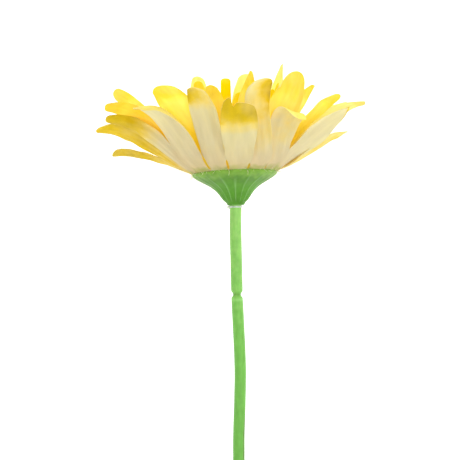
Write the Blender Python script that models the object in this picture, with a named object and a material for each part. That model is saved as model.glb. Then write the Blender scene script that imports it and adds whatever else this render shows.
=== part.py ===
"""An artificial gerbera daisy: cloth petals, a moulded calyx and a moulded stem, lying on a table.

The flower is modelled upright, in a frame of its own: u to the right, v away from the viewer and w
up the stem, with its origin at the middle of the calyx's rim. Two empties then nod its head a little
and lay the whole flower down, in metres and with +Z up, on two petals and the cut end of its stem.
"""

import math
import random
from typing import NamedTuple

import bpy
from mathutils import Matrix, Vector

MM = 0.001
CLEARANCE = 0.3 * MM  # between pieces that touch on the real flower

# Calyx: the green funnel under the bloom
RIM_RADIUS = 17.6 * MM
# Radius and height of the funnel's outside, foot to rim
CALYX_OUTSIDE = [
    (3.1 * MM, -13.5 * MM),
    (3.9 * MM, -12.9 * MM),
    (4.6 * MM, -11.9 * MM),
    (5.5 * MM, -10.4 * MM),
    (6.6 * MM, -8.7 * MM),
    (8.1 * MM, -7.0 * MM),
    (10.3 * MM, -5.3 * MM),
    (13.3 * MM, -3.6 * MM),
    (RIM_RADIUS, -1.5 * MM),
]
CALYX_RIBS = 16
RIB_HEIGHT = 0.5 * MM
RIB_FADE = 2.0 * MM  # over which a rib grows, outward from the foot
CALYX_SIDES = 64
DISH_SLOPE = math.radians(20)  # of the calyx's hollow top and of the cloth hubs that lie in it
HEAD_NOD = math.radians(2.4)  # the head leans to the left
HEAD_TIP = math.radians(4)  # and away from the viewer

# Stem: soft plastic moulded round a wire, with one waist where it bends easily
STEM_RADIUS = 2.4 * MM
STEM_TOP = -9.2 * MM
STEM_END = -165.0 * MM
STEM_SIDES = 14
STEM_RING_STEP = 9.0 * MM
WAIST_RADIUS = 1.7 * MM
WAIST_HEIGHT = -51.0 * MM
# Height above the waist and share of its depth there, on each side of it
WAIST_PROFILE = [(0.4 * MM, 1.0), (1.1 * MM, 0.55), (2.1 * MM, 0.0)]
WIRE_RADIUS = 0.8 * MM
WIRE_TOP = -15.0 * MM
WIRE_SIDES = 8
WIRE_RING_STEP = 18.0 * MM
# Sideways place and height of the stem's centre line, top to bottom
STEM_ROUTE = [
    (-0.1 * MM, STEM_TOP),
    (-0.2 * MM, -24.0 * MM),
    (0.1 * MM, -36.0 * MM),
    (0.4 * MM, -50.0 * MM),
    (1.1 * MM, -65.0 * MM),
    (1.8 * MM, -82.0 * MM),
    (1.6 * MM, -97.0 * MM),
    (1.2 * MM, -112.0 * MM),
    (1.4 * MM, -138.0 * MM),
    (2.4 * MM, STEM_END),
]

# Cloth
CLOTH = 0.7 * MM  # about twice the real cloth, so that each sheet is a sound solid
LAYER_STEP = 1.15 * MM  # from one hub to the next, up the peg
HUB_HOLE = 2.4 * MM
TIP_ROUNDNESS = 1.0  # depth of a tip's rounded corners over half its width
NOTCH_WIDTH = 1 / 3  # share of a tip's width that a nick takes
FLATTEST_CUP = 0.001  # half angle of the cross arc of a petal that is as good as flat
SPINE_STEPS = 48
# How much the petals that aren't bent by hand differ: shares of their size, and degrees
SIZE_SPREAD = 0.06
RISE_SPREAD = (1.0, 5.0, 8.0)  # at the root, the middle and the tip
LEAN_SPREAD = 6.0
TWIST_SPREAD = (5.0, 10.0)  # at the middle and the tip
BLUNT_SPREAD = 0.3

# Flower centre: a domed disc of florets on a peg
DISC_RADIUS = 8.8 * MM
DISC_DOME = 3.4 * MM
DISC_EDGE = 1.4 * MM
DISC_RINGS = 9
DISC_SIDES = 28  # every other one is a floret
DISC_HEART = 1.1 * MM
FLORET_RELIEF = 0.9 * MM  # larger than life
PEG_RADIUS = 1.7 * MM
PEG_LENGTH = 2.8 * MM  # below the lowest hub

# Hot glue left round the stem under the calyx, swollen on the left
GLUE_TOP = -13.8 * MM
GLUE_HEIGHT = 1.3 * MM
GLUE_WIDTH = 0.5 * MM
GLUE_SWELL = 1.2 * MM
GLUE_FLAT = (0.2, 0.6)  # shares of its height, from the top, between which its outside is upright
GLUE_SIDES = 20


class Petal(NamedTuple):
    """The outline and the bend of one petal, with sizes in millimetres and angles in degrees."""

    length: float  # from the root of its slits to its tip
    width: float
    rise: tuple  # slope above the rim's plane at the root, the middle and the tip
    lean: float = 0.0  # sideways bend, to the right seen from outside
    twist: tuple = (0.0, 0.0)  # turn about its own length at the middle and the tip
    cup: tuple = (18.0, 10.0)  # half angle of its cross arc at the middle and the tip
    blunt: float = 0.6  # share of the width that is left at the tip
    widest: float = 0.62  # share of the length where it is widest
    notch: float = 0.0  # share of the length of a nick in the tip


class Layer(NamedTuple):
    """One sheet of cloth cut into a ring of petals."""

    name: str
    count: int
    first: float  # azimuth of the first petal, in degrees: 0 faces the viewer, 90 is right
    slit_radius: float  # where the cuts between the petals start
    slit: float  # width of those cuts near their roots
    flare: float  # 1 for petals that widen straight away, more for ones that widen later
    level: int  # its place in the stack, from the calyx up
    rows: int
    columns: int
    usual: Petal
    spread: float  # how much the petals differ
    seed: int
    posed: dict  # petals bent by hand after the real flower, by number
    colour: tuple


OUTER = Layer(
    name="petals_outer",
    count=14,
    first=2.0,
    slit_radius=RIM_RADIUS,
    slit=0.8 * MM,
    flare=1.0,
    level=0,
    rows=9,
    columns=4,
    usual=Petal(46, 14, (32, 44, 46)),
    spread=1.0,
    seed=4,
    colour=(0.86, 0.80, 0.56),
    posed={
        0: Petal(42.5, 16, (34, 34, 30), lean=5, cup=(12, 10), blunt=0.85, widest=0.75, notch=0.07),
        1: Petal(44, 14, (32, 43, -4), lean=14, cup=(16, 4)),
        2: Petal(49.5, 14.2, (30, 32, 6), lean=22, twist=(-26, -34), cup=(20, 8), blunt=0.1, widest=0.42),
        3: Petal(34, 11, (24, 28, 4), twist=(20, 30), cup=(14, 10), blunt=0.4),
        4: Petal(45, 12, (34, 46, 34)),
        5: Petal(45, 13, (30, 44, 40)),
        6: Petal(47, 14, (28, 42, 74), twist=(12, 24), cup=(10, 2)),
        7: Petal(45, 14, (32, 52, 70)),
        8: Petal(47, 14, (28, 42, 74), twist=(-13, -26), cup=(10, 2)),
        9: Petal(44, 10, (22, 22, -6), lean=16, twist=(-14, 14), cup=(14, 10), blunt=0.7),
        10: Petal(49, 13, (33, 35, -16), twist=(-32, -36), cup=(14, 10), blunt=0.4),
        11: Petal(46.5, 13, (28, 40, -4), lean=3, twist=(8, 14), cup=(18, 16), blunt=0.35),
        12: Petal(48, 15, (34, 52, -34), cup=(16, 0), blunt=0.7),
        13: Petal(44.5, 13, (40, 56, 4), lean=12, cup=(20, 6), blunt=0.7),
    },
)
MIDDLE = Layer(
    name="petals_middle",
    count=14,
    first=15.0,
    slit_radius=13.4 * MM,
    slit=1.4 * MM,
    flare=1.4,
    level=1,
    rows=9,
    columns=4,
    usual=Petal(48, 12.5, (46, 64, 66)),
    spread=0.8,
    seed=11,
    colour=(0.98, 0.84, 0.20),
    posed={
        0: Petal(44.5, 13, (42, 60, 48), lean=12, twist=(-6, -10), cup=(14, 20), blunt=0.8),
        1: Petal(46, 18, (50, 64, 56), lean=19, twist=(-14, -24), cup=(16, 16), widest=0.8),
        2: Petal(43, 11.5, (54, 60, 40), lean=18, twist=(-18, -30), cup=(20, 24), blunt=0.3, widest=0.7),
        3: Petal(47, 11, (48, 48, 36), lean=4, twist=(-16, -20), cup=(20, 20), blunt=0.5),
        4: Petal(48, 11, (42, 42, 34), cup=(24, 24), blunt=0.5),
        5: Petal(54, 10, (48, 70, 70), lean=-12, cup=(24, 8), blunt=0.25),
        6: Petal(51, 12, (50, 72, 74), lean=-4),
        7: Petal(42, 11, (50, 66, 60), twist=(8, 10)),
        8: Petal(48.5, 11, (54, 76, 80), lean=-26, twist=(6, 10)),
        9: Petal(44, 12, (42, 44, 38)),
        10: Petal(51, 12, (44, 51, 40), lean=-6, twist=(30, 44), blunt=0.8),
        11: Petal(53, 13.5, (40, 43, 0), lean=-24, twist=(20, 26), cup=(18, 14), blunt=0.4),
        12: Petal(47, 14.5, (44, 54, 34), lean=-4, cup=(16, 4), blunt=0.8, widest=0.7),
        13: Petal(40, 11, (48, 66, 54), lean=-8, cup=(20, 24), blunt=0.6),
    },
)
INNER = Layer(
    name="petals_inner",
    count=12,
    first=-10.0,
    slit_radius=11.2 * MM,
    slit=1.0 * MM,
    flare=1.4,
    level=2,
    rows=6,
    columns=2,
    usual=Petal(38, 8, (64, 76, 76), cup=(20, 14)),
    spread=0.6,
    seed=7,
    colour=(1.0, 0.78, 0.10),
    posed={
        0: Petal(39, 5.5, (64, 76, 78), lean=6, blunt=0.9),
        1: Petal(41, 6, (64, 76, 76), lean=8, blunt=0.25),
        2: Petal(35, 7, (62, 74, 68)),
    },
)
FRINGE = Layer(
    name="fringe",
    count=36,
    first=0.0,
    slit_radius=9.8 * MM,
    slit=0.6 * MM,
    flare=1.0,
    level=3,
    rows=3,
    columns=1,
    usual=Petal(11, 1.3, (74, 72, 50), cup=(0.0, 0.0), blunt=0.6),
    spread=0.3,
    seed=3,
    colour=(0.98, 0.86, 0.30),
    posed={},
)
LAYERS = [OUTER, MIDDLE, INNER, FRINGE]

# The flower lies on these petals of the outer layer and on the foot of its stem
FEET = (6, 8)
PRESS = 1.2 * MM  # how far the table flattens their tips
SETTLING_STEPS = 8  # each finds the lowest points again and lays the flower on them

# Colour, roughness and metallic value
FINISHES = {
    "calyx": ((0.22, 0.42, 0.10), 0.45, 0.0),
    "stem": ((0.30, 0.60, 0.16), 0.38, 0.0),
    "stem_wire": ((0.45, 0.46, 0.47), 0.35, 1.0),
    "glue_bead": ((0.80, 0.86, 0.78), 0.25, 0.0),
    "flower_centre": ((0.42, 0.40, 0.08), 0.75, 0.0),
}
CLOTH_ROUGHNESS = 0.85
SMOOTH_ANGLE = math.radians(35)  # edges between faces that turn more than this are drawn sharp

UP = Vector((0, 0, 1))
# Stands the flower's own frame on its back: u to +X, w to +Y and v to -Z
LAID_BACK = Matrix(((1, 0, 0, 0), (0, 0, 1, 0), (0, -1, 0, 0), (0, 0, 0, 1)))


def clear_scene():
    for thing in list(bpy.data.objects):
        bpy.data.objects.remove(thing, do_unlink=True)


def outward(azimuth):
    return Vector((math.sin(azimuth), -math.cos(azimuth), 0))


def sideways(azimuth):
    return Vector((math.cos(azimuth), math.sin(azimuth), 0))


def through(values, share):
    """The smooth curve through a root, a middle and a tip value."""
    root, middle, tip = values
    ends = root * (1 - share) * (1 - 2 * share) + tip * share * (2 * share - 1)
    return ends + middle * 4 * share * (1 - share)


def hub_height(radius, level):
    """Height of a hub's middle surface: a shallow cone, higher for each layer."""
    return level * LAYER_STEP - (RIM_RADIUS - radius) * math.tan(DISH_SLOPE)


def hub_point(radius, level, azimuth):
    return outward(azimuth) * radius + UP * hub_height(radius, level)


def slit_half_angle(layer):
    return math.pi / layer.count


def petal_shapes(layer):
    """The petals of a layer: those posed by hand, and the rest varied a little by a seeded draw."""
    draw = random.Random(layer.seed)
    shapes = []
    for number in range(layer.count):
        usual = layer.usual
        changes = [draw.uniform(-1, 1) * layer.spread for _ in range(6)]
        varied = usual._replace(
            length=usual.length * (1 + SIZE_SPREAD * changes[0]),
            width=usual.width * (1 + SIZE_SPREAD * changes[1]),
            rise=tuple(angle + spread * changes[2] for angle, spread in zip(usual.rise, RISE_SPREAD)),
            lean=LEAN_SPREAD * changes[3],
            twist=tuple(spread * changes[4] for spread in TWIST_SPREAD),
            blunt=usual.blunt * (1 + BLUNT_SPREAD * changes[5]),
        )
        shapes.append(layer.posed.get(number, varied))
    return shapes


def half_width(layer, petal, share):
    root = layer.slit_radius * math.tan(slit_half_angle(layer)) - layer.slit / 2
    full = petal.width * MM / 2
    if share < petal.widest:
        return root + (full - root) * math.sin(math.pi / 2 * share / petal.widest) ** layer.flare
    past = (share - petal.widest) / (1 - petal.widest)
    return full * (1 - (1 - petal.blunt) * past**2)


def spine(layer, petal, azimuth):
    """Point, direction along and direction across at each step down the middle of a petal."""
    point = hub_point(layer.slit_radius, layer.level, azimuth)
    step = petal.length * MM / SPINE_STEPS
    frames = []
    for number in range(SPINE_STEPS + 1):
        share = number / SPINE_STEPS
        rise = math.radians(through(petal.rise, share))
        heading = azimuth + math.radians(petal.lean) * (1 - (1 - share) ** 3)
        along = outward(heading) * math.cos(rise) + UP * math.sin(rise)
        flat = sideways(heading)
        turn = math.radians(through((0, *petal.twist), share))
        across = flat * math.cos(turn) + along.cross(flat) * math.sin(turn)
        frames.append((point.copy(), along, across))
        point = point + along * step
    return frames


def petal_point(layer, petal, frames, share, side):
    """A point of a petal's middle surface: share runs from root to tip, side from -1 to 1 across."""
    corner = TIP_ROUNDNESS * petal.blunt * petal.width / 2 / petal.length
    fall = corner * (1 - math.sqrt(1 - side * side)) + petal.notch * max(0, 1 - abs(side) / NOTCH_WIDTH)
    reach = share - fall * share**4
    station = round(reach * SPINE_STEPS)
    point, along, across = frames[station]
    point = point + along * (reach - station / SPINE_STEPS) * petal.length * MM
    half = half_width(layer, petal, share)
    root_cup = slit_half_angle(layer)
    middle_cup, tip_cup = (math.radians(angle) for angle in petal.cup)
    cup = max(through((root_cup, middle_cup, tip_cup), share), FLATTEST_CUP)
    radius = half / cup
    inward = along.cross(across)
    return point + across * radius * math.sin(side * cup) + inward * radius * (1 - math.cos(side * cup))


def layer_sheet(layer):
    """Points and triangles of the cut sheet's middle surface, and the petal that each point is on."""
    points, triangles, owner = [], [], []

    def add(point, petal_number=None):
        points.append(point)
        owner.append(petal_number)
        return len(points) - 1

    half = slit_half_angle(layer)
    azimuths = [math.radians(layer.first) + 2 * half * number for number in range(layer.count)]
    hole = [add(hub_point(HUB_HOLE, layer.level, azimuth - half)) for azimuth in azimuths]
    roots = [add(hub_point(layer.slit_radius, layer.level, azimuth - half)) for azimuth in azimuths]
    for number, (azimuth, petal) in enumerate(zip(azimuths, petal_shapes(layer))):
        following = (number + 1) % layer.count
        frames = spine(layer, petal, azimuth)
        sides = [2 * column / layer.columns - 1 for column in range(layer.columns + 1)]
        inner = [
            add(hub_point(layer.slit_radius, layer.level, azimuth + half * side), number)
            for side in sides[1:-1]
        ]
        rows = [[roots[number], *inner, roots[following]]]
        for row in range(1, layer.rows + 1):
            share = row / layer.rows
            rows.append([add(petal_point(layer, petal, frames, share, side), number) for side in sides])
        middle = (layer.columns + 1) // 2
        for column in range(layer.columns):
            near = hole[number] if column < middle else hole[following]
            triangles.append((near, rows[0][column], rows[0][column + 1]))
        triangles.append((hole[number], rows[0][middle], hole[following]))
        for lower, upper in zip(rows, rows[1:]):
            for column in range(layer.columns):
                a, b = lower[column], lower[column + 1]
                c, d = upper[column + 1], upper[column]
                if column < layer.columns / 2:
                    triangles += [(a, d, b), (b, d, c)]
                else:
                    triangles += [(a, d, c), (a, c, b)]
    return points, triangles, owner


def thickened(points, triangles, thickness):
    """A closed solid on both sides of a sheet, with the same triangles on its two faces."""
    normals = [Vector() for _ in points]
    for a, b, c in triangles:
        normal = (points[b] - points[a]).cross(points[c] - points[a]).normalized()
        for corner in (a, b, c):
            normals[corner] += normal
    count = len(points)
    upper = [point + normal.normalized() * thickness / 2 for point, normal in zip(points, normals)]
    lower = [point - normal.normalized() * thickness / 2 for point, normal in zip(points, normals)]
    faces = list(triangles) + [(c + count, b + count, a + count) for a, b, c in triangles]
    edges = {(a, b) for face in triangles for a, b in zip(face, face[1:] + face[:1])}
    for a, b in sorted(edges):
        if (b, a) not in edges:
            faces += [(b, a, a + count), (b, a + count, b + count)]
    return upper + lower, faces


def make(name, points, faces, colour, roughness, metallic, parent):
    mesh = bpy.data.meshes.new(name)
    mesh.from_pydata(points, [], faces)
    mesh.validate()
    piece = bpy.data.objects.new(name, mesh)
    bpy.context.scene.collection.objects.link(piece)
    piece.parent = parent
    material = bpy.data.materials.new(name)
    material.use_nodes = True
    shader = material.node_tree.nodes["Principled BSDF"]
    shader.inputs["Base Color"].default_value = (*colour, 1)
    shader.inputs["Roughness"].default_value = roughness
    shader.inputs["Metallic"].default_value = metallic
    mesh.materials.append(material)
    mesh.shade_smooth()
    mesh.set_sharp_from_angle(angle=SMOOTH_ANGLE)
    return piece


def loft(rings, closed):
    """Faces between rings of points, either joined into a loop or capped at both ends."""
    points = [point for ring in rings for point in ring]
    sides = len(rings[0])
    faces = []
    pairs = len(rings) if closed else len(rings) - 1
    for number in range(pairs):
        low = number * sides
        high = (number + 1) % len(rings) * sides
        for side in range(sides):
            beside = (side + 1) % sides
            faces.append((low + side, low + beside, high + beside, high + side))
    if not closed:
        faces.append(tuple(reversed(range(sides))))
        faces.append(tuple(range(len(points) - sides, len(points))))
    return points, faces


def turned(profile, sides, swell=None):
    """Rings of a profile of radius and height turned round the stem's axis."""
    rings = []
    for radius, height in profile:
        ring = []
        for side in range(sides):
            azimuth = 2 * math.pi * side / sides
            extra = swell(radius, azimuth) if swell else 0
            ring.append(outward(azimuth) * (radius + extra) + UP * height)
        rings.append(ring)
    return rings


def make_calyx(head):
    """A fluted funnel with a hollow top, a bore for the centre's peg and a socket for the stem."""
    peg_bore = PEG_RADIUS + CLEARANCE
    socket = STEM_RADIUS + CLEARANCE
    socket_top = STEM_TOP + CLEARANCE
    below_cloth = CLOTH / 2 + CLEARANCE
    rim_top = hub_height(RIM_RADIUS, 0) - below_cloth
    dish_foot = hub_height(peg_bore, 0) - below_cloth
    inside = [
        (RIM_RADIUS, rim_top),
        (peg_bore, dish_foot),
        (peg_bore, socket_top),
        (socket, socket_top),
        (socket, CALYX_OUTSIDE[0][1]),
    ]

    def ribs(radius, azimuth):
        """Height of a rib, fading out at the foot."""
        fade = min(1, (radius - CALYX_OUTSIDE[0][0]) / RIB_FADE)
        return RIB_HEIGHT * fade * max(0, math.cos(CALYX_RIBS * azimuth))

    rings = turned(CALYX_OUTSIDE, CALYX_SIDES, ribs) + turned(inside, CALYX_SIDES)
    points, faces = loft(rings, closed=True)
    make("calyx", points, faces, *FINISHES["calyx"], head)


def smooth_route(height):
    """Sideways place of the stem's centre line at a height, by a smooth curve through its route."""
    route = STEM_ROUTE
    last = len(route) - 1
    number = next((k for k in range(last) if route[k + 1][1] <= height), last - 1)
    (u0, _), (u1, h1) = route[max(number - 1, 0)], route[number]
    (u2, h2), (u3, _) = route[number + 1], route[min(number + 2, last)]
    t = (h1 - height) / (h1 - h2)
    start, end = (u2 - u0) / 2, (u3 - u1) / 2
    bend = 2 * (u1 - u2) + start + end
    return u1 + start * t + (3 * (u2 - u1) - 2 * start - end) * t**2 + bend * t**3


def stem_ring(height, radius, sides):
    centre = Vector((smooth_route(height), 0, height))
    return [centre + outward(2 * math.pi * side / sides) * radius for side in range(sides)]


def heights_between(start, end, step):
    count = max(1, round(abs(end - start) / step))
    return [start + (end - start) * number / count for number in range(count + 1)]


def make_stem(flower):
    """The moulded stem, open at its cut end where the wire shows."""
    above = [(WAIST_HEIGHT + rise, depth) for rise, depth in reversed(WAIST_PROFILE)]
    below = [(WAIST_HEIGHT - rise, depth) for rise, depth in WAIST_PROFILE]
    places = [(height, 0) for height in heights_between(STEM_TOP, above[0][0], STEM_RING_STEP)[:-1]]
    places += above + below
    places += [(height, 0) for height in heights_between(below[-1][0], STEM_END, STEM_RING_STEP)[1:]]
    outside = [
        stem_ring(height, STEM_RADIUS - depth * (STEM_RADIUS - WAIST_RADIUS), STEM_SIDES)
        for height, depth in places
    ]
    bore = WIRE_RADIUS + CLEARANCE
    top = WIRE_TOP + CLEARANCE
    bore_heights = heights_between(STEM_END, top, WIRE_RING_STEP)
    inside = [stem_ring(height, bore, STEM_SIDES) for height in bore_heights]
    points, faces = loft(outside + inside, closed=False)
    make("stem", points, [face[::-1] for face in faces], *FINISHES["stem"], flower)
    wire = [
        stem_ring(height, WIRE_RADIUS, WIRE_SIDES)
        for height in heights_between(WIRE_TOP, STEM_END, WIRE_RING_STEP)
    ]
    points, faces = loft(wire, closed=False)
    make("stem_wire", points, [face[::-1] for face in faces], *FINISHES["stem_wire"], flower)
    return outside[-1]


def make_glue(flower):
    """A collar of hot glue in the corner between the stem and the calyx's foot."""
    inner = STEM_RADIUS + CLEARANCE
    outer = inner + GLUE_WIDTH
    bottom = GLUE_TOP - GLUE_HEIGHT
    profile = [
        (inner, bottom),
        ((inner + outer) / 2, bottom),
        (outer, GLUE_TOP - GLUE_FLAT[1] * GLUE_HEIGHT),
        (outer, GLUE_TOP - GLUE_FLAT[0] * GLUE_HEIGHT),
        ((inner + outer) / 2, GLUE_TOP),
        (inner, GLUE_TOP),
    ]

    def swell(radius, azimuth):
        leftness = max(0, -math.sin(azimuth)) ** 2
        return GLUE_SWELL * leftness * (radius - inner) / (outer - inner)

    points, faces = loft(turned(profile, GLUE_SIDES, swell), closed=True)
    make("glue_bead", points, faces, *FINISHES["glue_bead"], flower)


def make_centre(head):
    """The domed disc, covered with florets in relief, with the peg that holds the sheets together."""
    level = FRINGE.level
    clear = CLOTH / 2 + CLEARANCE
    underside = hub_height(PEG_RADIUS, level) + clear
    edge = hub_height(DISC_RADIUS, level) + clear
    peg_end = hub_height(PEG_RADIUS, OUTER.level) - PEG_LENGTH
    profile = [(PEG_RADIUS, peg_end), (PEG_RADIUS, underside), (DISC_RADIUS, edge)]
    rings = turned(profile, DISC_SIDES)
    for number in range(DISC_RINGS):
        share = number / DISC_RINGS
        radius = DISC_RADIUS - (DISC_RADIUS - DISC_HEART) * share
        dome = edge + DISC_EDGE + DISC_DOME * (1 - (radius / DISC_RADIUS) ** 2)
        ring = []
        for side in range(DISC_SIDES):
            azimuth = 2 * math.pi * side / DISC_SIDES
            raised = FLORET_RELIEF * ((side + number) % 2)
            ring.append(outward(azimuth) * radius + UP * (dome + raised))
        rings.append(ring)
    points, faces = loft(rings, closed=False)
    make("flower_centre", points, faces, *FINISHES["flower_centre"], head)


def head_matrix():
    """Nods the head to the left and away from the viewer, about the calyx's foot."""
    foot = Matrix.Translation(UP * CALYX_OUTSIDE[0][1])
    turn = Matrix.Rotation(-HEAD_NOD, 4, "Y") @ Matrix.Rotation(-HEAD_TIP, 4, "X")
    return foot @ turn @ foot.inverted()


def resting_matrix(groups):
    """Lays the flower down with the lowest point of each of three groups its own depth into the table."""
    pose = LAID_BACK.copy()
    for _ in range(SETTLING_STEPS):
        a, b, c = (
            min((pose @ point for point in group), key=lambda point: point.z) + UP * depth
            for group, depth in groups
        )
        normal = (b - a).cross(c - a).normalized()
        if normal.z < 0:
            normal.negate()
        turn = normal.rotation_difference(UP).to_matrix().to_4x4()
        pose = Matrix.Translation(UP * -(turn @ a).z) @ turn @ pose
    return pose


def press_on_table(points, place):
    """Moves both faces of the cloth up where its lower face would dip under the table."""
    count = len(points) // 2
    back = place.inverted()
    for number in range(count):
        upper, lower = place @ points[number], place @ points[number + count]
        lift = max(0, -min(upper.z, lower.z))
        points[number] = back @ (upper + UP * lift)
        points[number + count] = back @ (lower + UP * lift)


def main():
    clear_scene()
    flower = bpy.data.objects.new("flower", None)
    head = bpy.data.objects.new("head", None)
    for empty in (flower, head):
        bpy.context.scene.collection.objects.link(empty)
    head.parent = flower
    nod = head_matrix()
    head.matrix_local = nod

    stem_foot = make_stem(flower)
    make_glue(flower)
    make_calyx(head)
    make_centre(head)

    sheets = {}
    for layer in LAYERS:
        points, triangles, owner = layer_sheet(layer)
        sheets[layer.name] = (*thickened(points, triangles, CLOTH), owner + owner)
    points, _, owner = sheets[OUTER.name]
    feet = [[nod @ point for point, petal in zip(points, owner) if petal == foot] for foot in FEET]
    pose = resting_matrix([(foot, PRESS) for foot in feet] + [(stem_foot, 0)])
    press_on_table(points, pose @ nod)
    for layer in LAYERS:
        points, faces, _ = sheets[layer.name]
        make(layer.name, points, faces, layer.colour, CLOTH_ROUGHNESS, 0.0, head)

    flower.matrix_world = pose
    bpy.context.view_layer.update()
    corners = [
        thing.matrix_world @ vertex.co
        for thing in bpy.data.objects
        if thing.type == "MESH"
        for vertex in thing.data.vertices
    ]
    left, right = min(corner.x for corner in corners), max(corner.x for corner in corners)
    front, back = min(corner.y for corner in corners), max(corner.y for corner in corners)
    centred = Matrix.Translation((-(left + right) / 2, -(front + back) / 2, 0))
    flower.matrix_world = centred @ pose
    bpy.context.view_layer.update()


main()
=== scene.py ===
# %% [markdown]
# # An artificial gerbera daisy
#
# A "silk" gerbera is really woven polyester. The cloth is stiffened, printed, cut by a die into
# rings of petals, pressed with veins, and pushed onto a peg under a moulded heart of florets. A
# fluted plastic calyx holds the rings from below, and a plastic stem with a wire in it goes up into
# the calyx, where hot glue keeps it. This lesson dresses the plain solids of such a flower.
#
# The flower was photographed upright. Cut and with no vase it lies down, so the camera looks down
# on it from where it would have stood level with it.

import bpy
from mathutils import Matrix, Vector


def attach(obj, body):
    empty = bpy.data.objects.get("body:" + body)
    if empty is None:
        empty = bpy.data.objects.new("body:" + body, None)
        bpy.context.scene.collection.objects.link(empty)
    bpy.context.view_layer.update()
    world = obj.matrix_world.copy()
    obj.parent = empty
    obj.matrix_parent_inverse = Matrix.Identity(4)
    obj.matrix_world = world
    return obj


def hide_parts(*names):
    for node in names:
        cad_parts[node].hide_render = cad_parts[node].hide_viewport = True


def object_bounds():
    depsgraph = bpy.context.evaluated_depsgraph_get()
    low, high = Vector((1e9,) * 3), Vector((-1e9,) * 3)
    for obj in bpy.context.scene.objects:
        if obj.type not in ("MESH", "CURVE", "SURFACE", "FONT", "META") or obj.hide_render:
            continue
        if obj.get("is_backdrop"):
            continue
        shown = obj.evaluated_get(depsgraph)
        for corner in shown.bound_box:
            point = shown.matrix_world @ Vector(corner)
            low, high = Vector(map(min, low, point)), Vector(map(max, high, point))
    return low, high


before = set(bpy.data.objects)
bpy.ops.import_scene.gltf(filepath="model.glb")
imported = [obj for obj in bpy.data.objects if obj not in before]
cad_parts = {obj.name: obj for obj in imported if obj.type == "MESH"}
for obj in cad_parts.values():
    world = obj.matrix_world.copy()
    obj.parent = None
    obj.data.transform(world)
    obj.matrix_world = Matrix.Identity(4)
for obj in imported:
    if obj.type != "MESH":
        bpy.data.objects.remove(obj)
cad_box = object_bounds()
print("solids to dress:", ", ".join(sorted(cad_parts)))

# %% [markdown]
# ## Sizes, and where the flower lies
#
# It is easier to shape a flower that stands up straight, so every piece is worked out in the
# flower's own frame: u to the right, v away from the viewer and w up the stem, from the middle of
# the calyx's rim. Two turns then bring each point home. The first nods the head a little, and the
# second lays the flower on the table. The points go into the meshes already turned, so each object
# stays at the origin and a pattern on its coordinates can't slide.

# %% Sizes and turns
import math
import random
from typing import NamedTuple

import bpy
import numpy as np
from mathutils import Euler, Matrix, Vector, noise

MM = 0.001
UP = Vector((0, 0, 1))
CALYX_FOOT = -13.5 * MM
LYING_PLACE = Vector((3.6639, 54.0099, 39.749)) * MM
LYING_TURN = Euler([math.radians(angle) for angle in (-76.86912, -1.43082, -0.16452)])
HEAD_NOD = math.radians(2.4)  # to the left
HEAD_TIP = math.radians(4)  # away from the viewer

lying = Matrix.Translation(LYING_PLACE) @ LYING_TURN.to_matrix().to_4x4()
foot = Matrix.Translation(UP * CALYX_FOOT)
nod = Matrix.Rotation(-HEAD_NOD, 4, "Y") @ Matrix.Rotation(-HEAD_TIP, 4, "X")
head = lying @ foot @ nod @ foot.inverted()
axis_tilt = math.degrees((lying.to_3x3() @ UP).angle(Vector((0, 1, 0))))
print(f"the stem slopes {axis_tilt:.1f} degrees up from the table to the bloom")

# %% [markdown]
# ## The camera
#
# A photographer stood about a metre away, level with the calyx. One pixel of the picture covers
# 0.42 mm there, which gives the lens. The picture's middle lies below the calyx's rim.

# %% Camera
PIXELS = 460
PIXEL = 0.42 * MM
DISTANCE = 1.1
SENSOR = 36.0
RIM_PIXEL = (236, 173)  # where the middle of the rim is in the picture

camera = bpy.data.objects.new("camera", bpy.data.cameras.new("camera"))
bpy.context.scene.collection.objects.link(camera)
bpy.context.scene.camera = camera
camera.data.sensor_width = SENSOR
camera.data.lens = SENSOR * DISTANCE / (PIXELS * PIXEL)
aim = Vector(((PIXELS / 2 - RIM_PIXEL[0]) * PIXEL, -DISTANCE, (RIM_PIXEL[1] - PIXELS / 2) * PIXEL))
camera.matrix_world = lying @ Matrix.Translation(aim) @ Matrix.Rotation(math.pi / 2, 4, "X")
print(f"lens {camera.data.lens:.0f} mm from {DISTANCE} m")

# %% [markdown]
# ## Helpers for materials
#
# Colours are chosen as hex values, as a paint program shows them. A shader works in linear light,
# so one function turns them over. Another adds a node, sets it and joins it up. It looks only at
# sockets that are in use, so a Mix node's colour sockets are simply A and B. The others are short
# forms for what every material here does again and again.


# %% Helpers for materials
def colour(code):
    """A hex colour as linear red, green, blue and alpha."""
    parts = [int(code[place : place + 2], 16) / 255 for place in (1, 3, 5)]
    return (*(part / 12.92 if part < 0.04045 else ((part + 0.055) / 1.055) ** 2.4 for part in parts), 1)


def add(tree, kind, inputs=None, stops=(), **settings):
    """Adds a node. Each input gets a value, or the first output in use of another node."""
    node = tree.nodes.new(kind)
    for label, value in settings.items():
        setattr(node, label, value)
    for number, (place, code) in enumerate(stops):
        points = node.color_ramp.elements
        point = points[number] if number < len(points) else points.new(place)
        point.position, point.color = place, colour(code)
    for where, value in (inputs or {}).items():
        ready = [socket for socket in node.inputs if socket.enabled]
        named = [socket for socket in ready if socket.name == where]
        socket = ready[where] if isinstance(where, int) else named[0]
        if isinstance(value, bpy.types.Node):
            value = next(output for output in value.outputs if output.enabled)
        if isinstance(value, bpy.types.NodeSocket):
            tree.links.new(value, socket)
        else:
            socket.default_value = value
    return node


def carried(tree, name):
    """A value that the mesh carries on its points."""
    return add(tree, "ShaderNodeAttribute", attribute_name=name).outputs["Fac"]


def blended(tree, share, first, second):
    """The first colour, the second, or a mix of both."""
    return add(tree, "ShaderNodeMix", {"Factor": share, "A": first, "B": second}, data_type="RGBA")


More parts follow.
